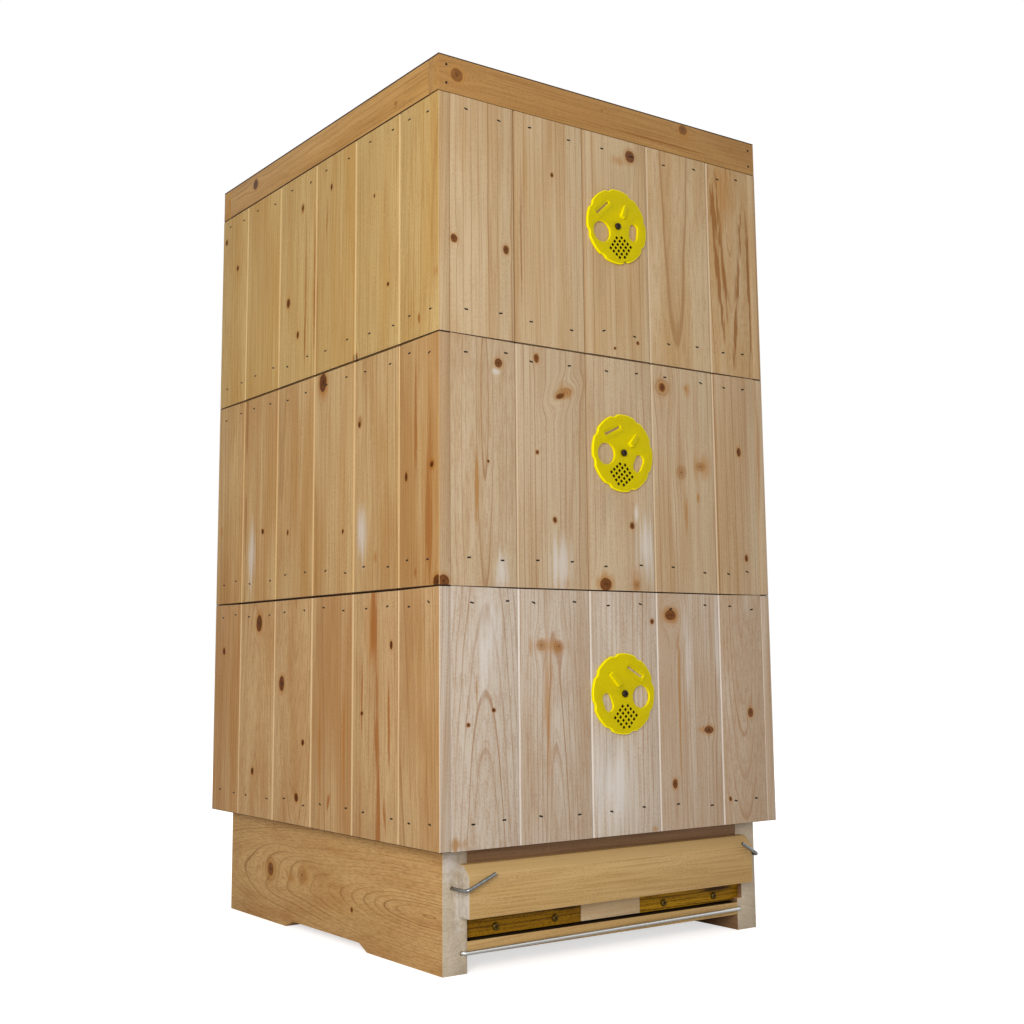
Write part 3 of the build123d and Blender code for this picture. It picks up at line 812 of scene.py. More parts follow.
def apply_modifier(piece: Piece, kind: str, **settings: str | float | list | Piece) -> None:
    """Adds one modifier to a piece and applies it.

    Args:
        piece: object to change.
        kind: modifier type.
        settings: options of the modifier by name.
    """
    modifier = alone(piece).modifiers.new(kind.lower(), kind)
    for name, value in settings.items():
        setattr(modifier, name, value)
    bpy.ops.object.modifier_apply(modifier=modifier.name)


def smooth(piece: Piece, angle: float) -> None:
    """Shades a piece smooth where its faces meet at a lower angle than this, in degrees."""
    alone(piece)
    bpy.ops.object.shade_smooth_by_angle(angle=math.radians(angle))


def break_edges(piece: Piece, width: float, angle: float = 30.0) -> None:
    """Rounds the sharp edges of a piece and shades it smooth.

    Args:
        piece: object to change.
        width: width of the rounding in millimetres.
        angle: edges sharper than this are rounded, in degrees.
    """
    sharp, margin = math.radians(angle), 5.0
    apply_modifier(piece, "BEVEL", width=width * MM, segments=2, limit_method="ANGLE", angle_limit=sharp)
    smooth(piece, angle + margin)


def round_edges(piece: Piece, chosen: list[bool], width: float, segments: int) -> None:
    """Rounds the edges that run between chosen vertices.

    Args:
        piece: object to change.
        chosen: whether each vertex is chosen.
        width: width of the rounding in metres.
        segments: number of steps in the rounding.
    """
    alone(piece)
    bpy.ops.object.mode_set(mode="EDIT")
    bpy.ops.mesh.select_all(action="DESELECT")
    bpy.ops.object.mode_set(mode="OBJECT")
    for edge in piece.data.edges:
        edge.select = all(chosen[vertex] for vertex in edge.vertices)
    bpy.ops.object.mode_set(mode="EDIT")
    bpy.ops.mesh.bevel(offset=width, segments=segments, affect="EDGES")
    bpy.ops.object.mode_set(mode="OBJECT")


def overlay(piece: Piece, direction: Vector, material: Material) -> None:
    """Gives the faces of a piece that look one way a material of their own.

    Args:
        piece: object to change.
        direction: where those faces look.
        material: their material.
    """
    piece.data.materials.append(material)
    for face in piece.data.polygons:
        if face.normal.dot(direction) > SQUARE:
            face.material_index = len(piece.data.materials) - 1


def cylinder(sides: int, radius: float, depth: float, **place: tuple[float, float, float]) -> Piece:
    """Adds a cylinder with its place in its mesh.

    Args:
        sides: number of its sides.
        radius: its radius in metres.
        depth: its length in metres.
        place: its location and rotation, where they aren't zero.

    Returns:
        The cylinder.
    """
    bpy.ops.mesh.primitive_cylinder_add(vertices=sides, radius=radius, depth=depth, **place)
    bpy.ops.object.transform_apply(location=True, rotation=True, scale=True)
    return bpy.context.active_object


def join(pieces: list[Piece], name: str) -> Piece:
    """Joins pieces into the first one and names it.

    Args:
        pieces: objects to join.
        name: name of the result.

    Returns:
        The joined object.
    """
    alone(pieces[0])
    for piece in pieces[1:]:
        piece.select_set(True)
    if len(pieces) > 1:
        bpy.ops.object.join()
    pieces[0].name = name
    pieces[0].data.name = name
    return pieces[0]


def spread(model: Piece, places: list[Matrix], name: str) -> Piece:
    """Copies a model to its places and joins the copies.

    Args:
        model: the model, which is removed.
        places: where each copy goes.
        name: name of the joined piece.

    Returns:
        The joined piece.
    """
    copies = []
    for matrix in places:
        copy = bpy.data.objects.new(name, model.data.copy())
        copy.data.transform(matrix)
        bpy.context.scene.collection.objects.link(copy)
        copies.append(copy)
    bpy.data.objects.remove(model)
    return join(copies, name)


def boards_of(mesh: Mesh) -> list[Board]:
    """Separate solids of a mesh, in order of place.

    Args:
        mesh: mesh whose solids share no vertex.

    Returns:
        The solids, from low X to high X, then along Y and Z.
    """
    links: list[list[int]] = [[] for _ in mesh.vertices]
    for edge in mesh.edges:
        first, second = edge.vertices
        links[first].append(second)
        links[second].append(first)
    seen: set[int] = set()
    boards = []
    for start in range(len(links)):
        if start in seen:
            continue
        seen.add(start)
        found, waiting = [], [start]
        while waiting:
            vertex = waiting.pop()
            found.append(vertex)
            fresh = [other for other in links[vertex] if other not in seen]
            seen.update(fresh)
            waiting.extend(fresh)
        points = [mesh.vertices[vertex].co for vertex in found]
        low, high = [Vector([end(p[axis] for p in points) for axis in range(3)]) for end in (min, max)]
        boards.append(Board(tuple(found), low, high))
    return sorted(boards, key=lambda board: tuple(round(c, 4) for c in board.middle))


@dataclass
class Workshop:
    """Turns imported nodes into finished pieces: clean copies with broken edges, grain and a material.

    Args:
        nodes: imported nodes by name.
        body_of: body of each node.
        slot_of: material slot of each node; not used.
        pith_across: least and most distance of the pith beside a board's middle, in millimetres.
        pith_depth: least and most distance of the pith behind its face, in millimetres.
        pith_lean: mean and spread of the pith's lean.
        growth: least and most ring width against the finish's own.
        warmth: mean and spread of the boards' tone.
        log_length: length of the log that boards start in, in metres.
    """

    nodes: dict[str, Piece]
    body_of: dict[str, str]
    slot_of: dict[str, str]
    pith_across: tuple[float, float] = (22, 70)
    pith_depth: tuple[float, float] = (12, 36)
    pith_lean: tuple[float, float] = (0.0, 0.02)
    growth: tuple[float, float] = (0.75, 1.35)
    warmth: tuple[float, float] = (0.5, 0.17)
    log_length: float = 6.0

    def copy_of(self, node: str, name: str) -> Piece:
        """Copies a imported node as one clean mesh.

        Args:
            node: name of the node.
            name: name of the copy.

        Returns:
            The copy, with flat faces merged.
        """
        same_place, same_plane = 0.01 * MM, math.radians(0.5)
        alone(self.nodes[node])
        bpy.ops.object.duplicate()
        piece = bpy.context.active_object
        piece.name = name
        piece.data.name = name
        for key in list(piece.keys()):
            del piece[key]
        piece.parent = None
        piece.data.materials.clear()
        bpy.ops.mesh.customdata_custom_splitnormals_clear()
        bpy.ops.object.mode_set(mode="EDIT")
        bpy.ops.mesh.select_all(action="SELECT")
        bpy.ops.mesh.remove_doubles(threshold=same_place)
        bpy.ops.mesh.dissolve_limited(angle_limit=same_plane)
        bpy.ops.object.mode_set(mode="OBJECT")
        return piece

    def place(self, piece: Piece, node: str, material: Material) -> Piece:
        """Dresses a piece, lets it stand for a node and lets it ride on the node's body.

        Args:
            piece: object to dress.
            node: node that it stands for.
            material: its material.

        Returns:
            The same object.
        """
        piece.data.materials.clear()
        piece.data.materials.append(material)
        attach(piece, self.body_of[node])
        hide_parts(node)
        LOG.info("%s stands for %s, %d faces", piece.name, node, len(piece.data.polygons))
        return piece

    def solid(self, node: str, material: Material, edge: float, angle: float = 30.0) -> Piece:
        """Finishes a node that has no grain, such as a moulding or a bent wire.

        Args:
            node: name of the node.
            material: its material.
            edge: width of its broken edges in millimetres.
            angle: edges sharper than this are broken, in degrees.

        Returns:
            The finished piece.
        """
        piece = self.copy_of(node, f"{node}_finish")
        break_edges(piece, edge, angle)
        return self.place(piece, node, material)

    def timber(self, node: str, material: Material, edge: float = 0.6, cuts: dict[int, Cut] | None = None,
               tones: tuple[float, ...] = (), ends: dict[Side, Material] | None = None) -> Piece:
        """Finishes a wooden node: breaks its edges and gives each board its own grain.

        Args:
            node: name of the node.
            material: its pine.
            edge: width of the broken edges in millimetres.
            cuts: how some boards were sawn, by their order along the node.
            tones: warmth of the first boards, in their order.
            ends: pine of the faces that look out of a side, where it differs.

        Returns:
            The finished piece.
        """
        piece = self.copy_of(node, f"{node}_pine")
        break_edges(piece, edge)
        self._grain(piece.data, random.Random(node), cuts or {}, tones)
        self._edges(piece.data)
        self.place(piece, node, material)
        for side, pine in (ends or {}).items():
            overlay(piece, side.outward, pine)
        return piece

    @staticmethod
    def _edges(mesh: Mesh) -> None:
        """Marks the faces of bevels and broken edges, which lie square to no axis."""
        values = [BROKEN * (max(abs(c) for c in face.normal) <= DEAD_SQUARE) for face in mesh.polygons]
        mesh.attributes.new("edge", "FLOAT", "FACE").data.foreach_set("value", values)

    def _grain(self, mesh: Mesh, draw: random.Random, cuts: dict[int, Cut],
               tones: tuple[float, ...]) -> None:
        """Writes the place in its log and the tone of every board on its vertices.

        Args:
            mesh: mesh to write on.
            draw: random numbers of this piece.
            cuts: how some boards were sawn, by their order.
            tones: warmth of the first boards, in their order.
        """
        grain = [0.0] * (3 * len(mesh.vertices))
        tone = [0.0] * len(mesh.vertices)
        for number, board in enumerate(boards_of(mesh)):
            size = board.high - board.low
            thin, wide, long = sorted(range(3), key=lambda axis: size[axis])
            drawn = Cut(
                draw.choice((-1, 1)) * draw.uniform(*self.pith_across),
                draw.choice((-1, 1)) * draw.uniform(*self.pith_depth),
                draw.gauss(*self.pith_lean),
                draw.uniform(*self.growth),
            )
            warmth = draw.gauss(*self.warmth)
            start = draw.uniform(0.0, self.log_length)
            cut = cuts.get(number, drawn)
            for vertex in board.vertices:
                offset = mesh.vertices[vertex].co - board.middle
                along = offset[long]
                grain[3 * vertex] = (offset[wide] + cut.across * MM) / cut.growth
                grain[3 * vertex + 1] = (offset[thin] + cut.depth * MM + cut.lean * along) / cut.growth
                grain[3 * vertex + 2] = along + start
                tone[vertex] = tones[number] if number < len(tones) else warmth
        mesh.attributes.new("grain", "FLOAT_VECTOR", "POINT").data.foreach_set("vector", grain)
        mesh.attributes.new("tone", "FLOAT", "POINT").data.foreach_set("value", tone)


@dataclass
class Fasteners:
    """Staples, nails and screws, each modelled once and copied to its places.

    Sizes are in millimetres and turns in degrees. Shares of the screw are of its head's height and radius.
    """

    staple_length: float = 4.6
    staple_wire: float = 1.8
    staple_shoulder: float = 0.4
    nail_radius: float = 1.4
    nail_thickness: float = 1.2
    nail_chamfer: float = 0.3
    proud: float = 0.3
    head_height: float = 2.2
    head_dome: float = 0.55
    cross_length: float = 1.1
    cross_width: float = 0.3
    cross_turns: tuple[float, float] = (20.0, 110.0)

    def staple(self) -> Piece:
        """One staple crown with rounded shoulders.

        Returns:
            The crown, lying along X with its outside towards -Y.
        """
        bpy.ops.mesh.primitive_cube_add(size=1.0)
        piece = bpy.context.active_object
        piece.scale = Vector((self.staple_length, self.staple_wire, self.staple_wire)) * MM
        bpy.ops.object.transform_apply(location=False, rotation=False, scale=True)
        apply_modifier(piece, "BEVEL", width=self.staple_shoulder * MM, segments=1)
        piece.data.transform(Matrix.Translation((0, (self.staple_wire / 2 - self.proud) * MM, 0)))
        return piece

    def nail(self) -> Piece:
        """One nail head with a chamfered rim.

        Returns:
            The head, facing -Y.
        """
        turn = (math.radians(90), 0, 0)
        radius, thickness = self.nail_radius * MM, self.nail_thickness * MM
        piece = cylinder(sides=14, radius=radius, depth=thickness, rotation=turn)
        apply_modifier(piece, "BEVEL", width=self.nail_chamfer * MM, segments=1, limit_method="ANGLE")
        piece.data.transform(Matrix.Translation((0, (self.nail_thickness / 2 - self.proud) * MM, 0)))
        return piece

    def screw(self, board: Board) -> Piece:
        """One screw with a domed head and a cross recess in the box of a plain one, its head towards -Y.

        Args:
            board: the plain screw.

        Returns:
            The screw, with its axis along Y through the origin and its outermost face at the origin.
        """
        radius = (board.high.x - board.low.x) / 2
        length = board.high.y - board.low.y
        head, flush = self.head_height * MM, 0.01 * MM
        top = cylinder(sides=32, radius=radius, depth=head, location=(0, 0, -head / 2))
        rim = [abs(vertex.co.z) < flush for vertex in top.data.vertices]
        round_edges(top, rim, width=head * self.head_dome, segments=4)
        for turn in self.cross_turns:
            bpy.ops.mesh.primitive_cube_add(size=1.0, rotation=(0, 0, math.radians(turn)))
            cutter = bpy.context.active_object
            cutter.scale = Vector((radius * self.cross_length, radius * self.cross_width, head))
            apply_modifier(top, "BOOLEAN", operation="DIFFERENCE", object=cutter)
            bpy.data.objects.remove(cutter)
        middle = -(length + head) / 2
        shank = cylinder(sides=16, radius=radius / 2, depth=length - head, location=(0, 0, middle))
        screw = join([top, shank], "screw_model")
        screw.data.transform(Matrix.Rotation(math.radians(90), 4, "X"))
        smooth(screw, angle=35.0)
        return screw

    def screws(self, shop: Workshop, node: str, material: Material) -> None:
        """Detailed screws in the place of a node of plain ones.

        Args:
            shop: workshop that places the piece.
            node: name of the node.
            material: their metal.
        """
        plain = shop.copy_of(node, "plain_screws")
        boards = boards_of(plain.data)
        bpy.data.objects.remove(plain)
        places = [Matrix.Translation((b.middle.x, b.low.y, b.middle.z)) for b in boards]
        shop.place(spread(self.screw(boards[0]), places, f"{node}_cross"), node, material)

    @staticmethod
    def drive(model: Piece, places: list[Matrix], name: str, body: str, material: Material) -> None:
        """Drives copies of a staple or nail into a body.

        Args:
            model: the model.
            places: where each copy goes.
            name: name of the joined piece.
            body: body that it rides on.
            material: its metal.
        """
        piece = spread(model, places, name)
        piece.data.materials.append(material)
        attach(piece, body)
        LOG.info("%s, %d of them", piece.name, len(places))


@dataclass
class HiveBody:
    """One hive body: plank walls, their staples, an entrance disc with its screw, and frames inside.

    Args:
        name: first word of its nodes' names.
        front: pine of the front and the rear.
        flank: pine of the sides.
        marks: knots, stains and pale patches of each wall.
        cuts: how some planks of a wall were sawn, by their order.
        tones: warmth of the planks of a wall, in their order.
        gleams: planks of the front whose left bevels get a painted highlight.
        seam_rise: how far the wall's corners rise towards the body above, in millimetres.
        seam_zone: height of the planks' ends, in millimetres.
        seam_open: share of the rise between the corners.
        staple_drop: distance of the upper staples from the top, in millimetres.
        staple_rise: distance of the lower staples from the bottom, in millimetres.
        staple_shares: places of the staples across a plank, as shares of its width.
        staple_drift: how far those shares vary.
        staple_stray: how far the staples stray up and down, in millimetres.
        staple_tilt: mean and spread of the staples' tilt, in degrees.
        disc_thickness: thickness of the disc's plate, in millimetres.
        frame_height: height of the frame round the disc's slot, in millimetres.
        vents_turn: turn of the vents from the disc's foot, in degrees.
        vents_radius: distance of the vents' middle from the disc's, in millimetres.
        vents_reach: half of the vents' spread, in millimetres.
    """

    name: str
    front: PineFinish
    flank: PineFinish
    marks: dict[Side, tuple[Mark, ...]]
    cuts: dict[Side, dict[int, Cut]] = field(default_factory=dict)
    tones: dict[Side, tuple[float, ...]] = field(default_factory=dict)
    gleams: tuple[int, ...] = ()
    seam_rise: float = 1.2
    seam_zone: float = 1.0
    seam_open: float = 0.3
    staple_drop: float = 13.5
    staple_rise: float = 24.0
    staple_shares: tuple[float, float] = (0.24, 0.74)
    staple_drift: float = 0.05
    staple_stray: float = 3.0
    staple_tilt: tuple[float, float] = (2.0, 8.0)
    disc_thickness: float = 3.0
    frame_height: float = 0.6
    vents_turn: float = 0.0
    vents_radius: float = 22.5
    vents_reach: float = 16.0

    def build(self, shop: Workshop, fasteners: Fasteners, finishes: Finishes) -> None:
        """Builds and dresses the whole body.

        Args:
            shop: workshop that finishes the nodes.
            fasteners: models of the fasteners.
            finishes: shared materials by name.
        """
        pines = {}
        for side in Side:
            finish = self.flank if side.across else self.front
            pines[side] = finish.for_wall(side, self._wall(side), self.marks[side])
        for side in Side:
            ends = {end: pines[end] for end in (Side.FRONT, Side.REAR)} if side.across else {}
            cuts, tones = self.cuts.get(side), self.tones.get(side, ())
            wall = shop.timber(self._wall(side), pines[side], cuts=cuts, tones=tones, ends=ends).data
            boards = boards_of(wall)
            self._staples(side, boards, fasteners, finishes["staple"])
            self._seam(wall)
            if side is Side.FRONT:
                self._gleam(wall, [boards[number] for number in self.gleams])
        for part in ("lining", "top_rails", "bottom_rails", "frames"):
            shop.timber(f"{self.name}_{part}", finishes["planed"])
        shop.solid(f"{self.name}_insulation", finishes["softboard"], edge=0.4)
        shop.solid(f"{self.name}_foundation", finishes["wax"], edge=0.3)
        self._disc(shop, finishes["plastic"])
        fasteners.screws(shop, f"{self.name}_disc_screw", finishes["bronze"])

    def _wall(self, side: Side) -> str:
        """Name of the node of one wall."""
        return f"{self.name}_{side.value}_cladding"

    def _seam(self, wall: Mesh) -> None:
        """Lets the wall's top rise towards the body above, and paints the planks' ends dark as the shade in
        the seam.

        Args:
            wall: planks of one wall.
        """
        low = min(vertex.co.z for vertex in wall.vertices) + self.seam_zone * MM
        high = max(vertex.co.z for vertex in wall.vertices) - self.seam_zone * MM
        edges = wall.attributes["edge"].data
        # The planks' end bevels are painted dark, as the shade in the seam
        for face in wall.polygons:
            if edges[face.index].value and not low < face.center.z < high:
                edges[face.index].value = SEAM
        ends = [[end(vertex.co[axis] for vertex in wall.vertices) for end in (min, max)] for axis in (0, 1)]
        corner = 2 * self.seam_zone * MM
        for vertex in wall.vertices:
            if vertex.co.z > high:
                near = [min(abs(vertex.co[axis] - end) for end in ends[axis]) < corner for axis in (0, 1)]
                vertex.co.z += (self.seam_rise if all(near) else self.seam_rise * self.seam_open) * MM

    @staticmethod
    def _gleam(wall: Mesh, boards: list[Board]) -> None:
        """Paints a highlight on the left bevels of some planks.

        Args:
            wall: planks of one wall.
            boards: planks whose bevels get the painted highlight.
        """
        bright = {vertex for board in boards for vertex in board.vertices}
        edges = wall.attributes["edge"].data
        for face in wall.polygons:
            if edges[face.index].value == BROKEN and face.normal.x < 0 and bright.issuperset(face.vertices):
                edges[face.index].value = GLEAMING

    def _disc(self, shop: Workshop, material: Material) -> None:
        """Entrance disc: rounds its rim, paints a highlight on its edges and paints shade on the walls of
        its vents.

        Args:
            shop: workshop that finishes the node.
            material: its plastic.
        """
        node = f"{self.name}_disc"
        piece = shop.copy_of(node, f"{node}_moulding")
        low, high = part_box(node)
        middle = (Vector(low) + Vector(high)) / 2
        radius = (high[0] - low[0]) / 2
        rim_start, face_on = 0.93, 0.97
        rim = [Vector((v.co.x - middle.x, v.co.z - middle.z)).length > rim_start * radius
               and v.co.y < high[1] - MM for v in piece.data.vertices]
        round_edges(piece, rim, width=0.9 * MM, segments=3)
        break_edges(piece, width=0.25)
        turn = math.radians(self.vents_turn)
        vents = middle + Vector((math.sin(turn), 0.0, -math.cos(turn))) * self.vents_radius * MM
        # edge marks the faces for the painted highlight, hollow the vent walls for the painted shade
        edges, hollows = [], []
        for face in piece.data.polygons:
            away = face.center - vents
            aside = -face.normal.y < face_on
            proud = (high[1] - face.center.y) / MM - self.disc_thickness
            framed = 0.0 < proud < self.frame_height
            edges.append(float(aside and not framed))
            hollows.append(float(aside and Vector((away.x, away.z)).length < self.vents_reach * MM))
        for name, values in (("edge", edges), ("hollow", hollows)):
            piece.data.attributes.new(name, "FLOAT", "FACE").data.foreach_set("value", values)
        shop.place(piece, node, material)

    def _staples(self, side: Side, boards: list[Board], fasteners: Fasteners, material: Material) -> None:
        """Two rows of staples, two to a plank, near the upper and the lower edge.

        Args:
            side: wall that gets them.
            boards: its planks.
            fasteners: models of the fasteners.
            material: their metal.
        """
        draw = random.Random(f"{self.name} {side.value}")
        face = side.face(self._wall(side))
        places = []
        for board in boards:
            start, end = board.low[side.across], board.high[side.across]
            for share in self.staple_shares:
                for row in (board.low.z + self.staple_rise * MM, board.high.z - self.staple_drop * MM):
                    drift = draw.uniform(-self.staple_drift, self.staple_drift)
                    across = start + (end - start) * (share + drift)
                    up = row + draw.uniform(-self.staple_stray, self.staple_stray) * MM
                    tilt = Matrix.Rotation(math.radians(draw.gauss(*self.staple_tilt)), 4, "Y")
                    places.append(Matrix.Translation(side.spot(across, face, up)) @ side.turn @ tilt)
        name = f"{self.name}_{side.value}_staples"
        fasteners.drive(fasteners.staple(), places, name, f"{self.name}_body", material)


@dataclass
class Stand:
    """Stand with rails, entrance, mesh floor, tray, front board, wire hooks and rod.

    Args:
        rail: pine of the side rails.
        post: pine of sawn ends.
        rail_marks: marks of the left rail.
        post_marks: marks of the rails' front ends.
        mesh_pitch: distance of the mesh's wires in millimetres.
        mesh_wire: thickness of the mesh's wires in millimetres.
    """

    rail: PineFinish
    post: PineFinish
    rail_marks: tuple[Mark, ...]
    post_marks: tuple[Mark, ...]
    mesh_pitch: float = 3.2
    mesh_wire: float = 0.6

    def build(self, shop: Workshop, fasteners: Fasteners, finishes: Finishes) -> None:
        """Builds and dresses the stand.

        Args:
            shop: workshop that finishes the nodes.
            fasteners: models of the fasteners.
            finishes: shared materials by name.
        """
        rail = self.rail.build(Side.LEFT, Side.LEFT.face("stand_left_rail"), self.rail_marks)
        post = self.post.build(Side.FRONT, Side.FRONT.face("stand_left_rail"), self.post_marks)
        posts = {Side.FRONT: post, Side.REAR: post}
        sawn = {Side.LEFT: post, Side.RIGHT: post}
        left_cut, board_cut = {0: Cut(11.0, 38.0, 0.12)}, {0: Cut(60.0, 20.0, 0.01)}
        shop.timber("stand_left_rail", rail, edge=0.8, cuts=left_cut, ends=posts)
        # The right rail's inner face and the front rail take the shadowed pine, which is painted shade
        shop.timber("stand_right_rail", rail, edge=0.8, ends={**posts, Side.LEFT: finishes["shadowed"]})
        shop.timber("stand_front_rail", finishes["shadowed"])
        for node in ("stand_rear_rail", "floor_battens", "tray_lip"):
            shop.timber(node, finishes["planed"])
        shop.timber("front_board", finishes["board"], edge=0.5, cuts=board_cut, tones=(0.5,), ends=sawn)
        # The sill's top faces take the dark pine, the painted shade of the gap above them
        overlay(shop.timber("entrance_sill", finishes["board"], edge=0.4), UP, finishes["dark"])
        shop.timber("entrance_bars", finishes["bar"], edge=0.4)
        shop.timber("entrance_block", finishes["block"], edge=0.4)
        self._mesh(shop, finishes["mesh"])
        shop.solid("tray_sheet", finishes["tray"], edge=0.3)
        for node, wire in (("left_hook", "hook"), ("right_hook", "hook"), ("sill_rod", "wire")):
            shop.solid(node, finishes[wire], edge=0.5, angle=60.0)
        fasteners.screws(shop, "entrance_bar_screws", finishes["passivated"])

    def _mesh(self, shop: Workshop, material: Material) -> None:
        """Woven mesh: one wire each way, repeated to the edges of the floor.

        Args:
            shop: workshop that places the piece.
            material: its metal.
        """
        low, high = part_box("floor_mesh")
        size = Vector(high) - Vector(low)
        radius, square = self.mesh_wire * MM / 2, math.radians(90)
        layers = []
        for along, height in ((0, low[2] + radius), (1, high[2] - radius)):
            across = 1 - along
            turn = (0, square, 0) if along == 0 else (square, 0, 0)
            wire = cylinder(sides=6, radius=radius, depth=size[along], rotation=turn)
            count = math.floor((size[across] - 2 * radius) / (self.mesh_pitch * MM)) + 1
            step = [0.0, 0.0, 0.0]
            step[across] = (size[across] - 2 * radius) / (count - 1)
            apply_modifier(wire, "ARRAY", count=count, use_relative_offset=False, use_constant_offset=True,
                           constant_offset_displace=step)
            start = [0.0, 0.0, height]
            start[along] = (low[along] + high[along]) / 2
            start[across] = low[across] + radius
            wire.data.transform(Matrix.Translation(start))
            layers.append(wire)
        shop.place(join(layers, "floor_mesh_wires"), "floor_mesh", material)


@dataclass
class Roof:
    """Flat roof: rim boards with nails, a coated sheet, and the layers inside.

    Args:
        rim: pine of the front and the rear board.
        flank: pine of the side boards.
        marks: knots, stains and streaks of the boards.
        nail_inset: distance of the nails from a board's edges in millimetres.
    """

    rim: PineFinish
    flank: PineFinish
    marks: dict[Side, tuple[Mark, ...]]
    nail_inset: float = 9.0

    def build(self, shop: Workshop, fasteners: Fasteners, finishes: Finishes) -> None:
        """Builds and dresses the roof.

        Args:
            shop: workshop that finishes the nodes.
            fasteners: models of the fasteners.
            finishes: shared materials by name.
        """
        pines = {}
        upright = 0.3
        for side in Side:
            finish = self.flank if side.across else self.rim
            pines[side] = finish.for_wall(side, f"roof_{side.value}_board", self.marks.get(side, ()))
        for side in Side:
            ends = {end: pines[end] for end in (Side.LEFT, Side.RIGHT)} if side.across == 0 else {}
            board = shop.timber(f"roof_{side.value}_board", pines[side], edge=0.9, ends=ends).data
            # Only the top and bottom bevels keep the edge colour; on the side boards it is painted shade
            edges = board.attributes["edge"].data
            for face in board.polygons:
                if abs(face.normal.z) < upright:
                    edges[face.index].value = 0.0
        for node in ("roof_ceiling", "roof_deck"):
            shop.timber(node, finishes["planed"], edge=0.5)
        shop.solid("roof_insulation", finishes["softboard"], edge=0.4)
        shop.solid("roof_sheet", finishes["sheet"], edge=0.3)
        self._nails(fasteners, finishes["staple"])

    def _nails(self, fasteners: Fasteners, material: Material) -> None:
        """Two nails at each end of the boards that cover the ends of the side boards.

        Args:
            fasteners: models of the fasteners.
            material: their metal.
        """
        places = []
        inset = self.nail_inset * MM
        for side in (Side.FRONT, Side.REAR):
            node = f"roof_{side.value}_board"
            low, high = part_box(node)
            for x in (low[0] + inset, high[0] - inset):
                for z in (low[2] + inset, high[2] - inset):
                    places.append(Matrix.Translation((x, side.face(node), z)) @ side.turn)
        fasteners.drive(fasteners.nail(), places, "roof_rim_nails", "roof", material)


@dataclass
class Studio:
    """Pale floor, soft light and the photograph's camera. Sizes are in millimetres, angles in degrees."""

    camera_place: tuple[float, float, float] = (-909.5, -1317.8, 281.0)
    yaw: float = 35.25
    pitch: float = 8.03
    roll: float = -0.40
    lens: float = 48.67
    shift_x: float = 0.0181
    shift_y: float = -0.0436
    clip_end: float = 100000.0
    fill: float = 0.5
    key_place: tuple[float, float, float] = (-1700.0, -1750.0, 850.0)
    key_watts: float = 30.0
    rear_place: tuple[float, float, float] = (1900.0, 2300.0, 1500.0)
    rear_watts: float = 30.0
    lamp_size: float = 900.0
    lamp_aim: tuple[float, float, float] = (0.0, 0.0, 430.0)
    floor_size: float = 80000.0
    floor_mottle: float = 250.0
    floor_lift: float = 0.62

    def build(self) -> None:
        """Sets up everything round the object."""
        self._camera()
        self._world()
        self._floor()
        self._lamp("soft_key", self.key_place, self.key_watts)
        self._lamp("soft_rear", self.rear_place, self.rear_watts)
        bpy.context.scene.view_settings.view_transform = "Standard"

    def _camera(self) -> None:
        """Camera at the photograph's place, turned by yaw, pitch and roll."""
        data = bpy.data.cameras.new("photo_camera")
        data.lens = self.lens
        data.shift_x = self.shift_x
        data.shift_y = self.shift_y
        data.clip_end = self.clip_end * MM
        camera = bpy.data.objects.new("photo_camera", data)
        level = 90.0
        camera.matrix_world = (
            Matrix.Translation(Vector(self.camera_place) * MM)
            @ Matrix.Rotation(math.radians(-self.yaw), 4, "Z")
            @ Matrix.Rotation(math.radians(level + self.pitch), 4, "X")
            @ Matrix.Rotation(math.radians(self.roll), 4, "Z")
        )
        bpy.context.scene.collection.objects.link(camera)
        bpy.context.scene.camera = camera

    def _world(self) -> None:
        """White surroundings for the eye and for reflections, and an even fill for the surfaces."""
        world = bpy.data.worlds.new("white_studio")
        world.use_nodes = True
        bpy.context.scene.world = world
        nodes = Nodes(world.node_tree)
        kinds = ("Camera", "Glossy", "Transmission")
        rays = [nodes.add("LightPath", output=f"Is {kind} Ray") for kind in kinds]
        seen = reduce(lambda first, second: nodes.add("Math", first, second, operation="MAXIMUM"), rays)
        level = nodes.add("MapRange", seen, 0.0, 1.0, self.fill, 1.0)
        nodes.shade("BACKGROUND", Color="#FFFFFF", Strength=level)

    def _floor(self) -> None:
        """Wide matt floor, white to the eye, that keeps the object's shadow."""
        bpy.ops.mesh.primitive_plane_add(size=self.floor_size * MM, location=(0, 0, 0))
        floor = bpy.context.active_object
        floor.name = "studio_floor"
        material, tree = new_material("matt_white_floor")
        nodes = Nodes(tree)
        noise = nodes.add("TexNoise", nodes.add("TexCoord", output="Object"), 1 / (self.floor_mottle * MM))
        colour = nodes.add("Mix", noise, "#F4F4F4", "#F0F0F0", **COLOUR)
        seen = nodes.add("LightPath", output="Is Camera Ray")
        lift = nodes.add("Math", seen, self.floor_lift, operation="MULTIPLY")
        nodes.shade("BSDF_PRINCIPLED", Base_Color=colour, Roughness=0.95, Specular_IOR_Level=0.0,
                    Emission_Color="#FFFFFF", Emission_Strength=lift)
        floor.data.materials.append(material)

    def _lamp(self, name: str, place: tuple[float, float, float], watts: float) -> None:
        """Square soft lamp that points at the middle of the hive.

        Args:
            name: name of the lamp.
            place: where it stands.
            watts: its power.
        """
        lamp = bpy.data.lights.new(name, "AREA")
        lamp.energy = watts
        lamp.size = self.lamp_size * MM
        spot, aim = Vector(place) * MM, Vector(self.lamp_aim) * MM
        turn = (spot - aim).to_track_quat("Z", "Y").to_matrix().to_4x4()
        holder = bpy.data.objects.new(name, lamp)
        holder.matrix_world = Matrix.Translation(spot) @ turn
        bpy.context.scene.collection.objects.link(holder)


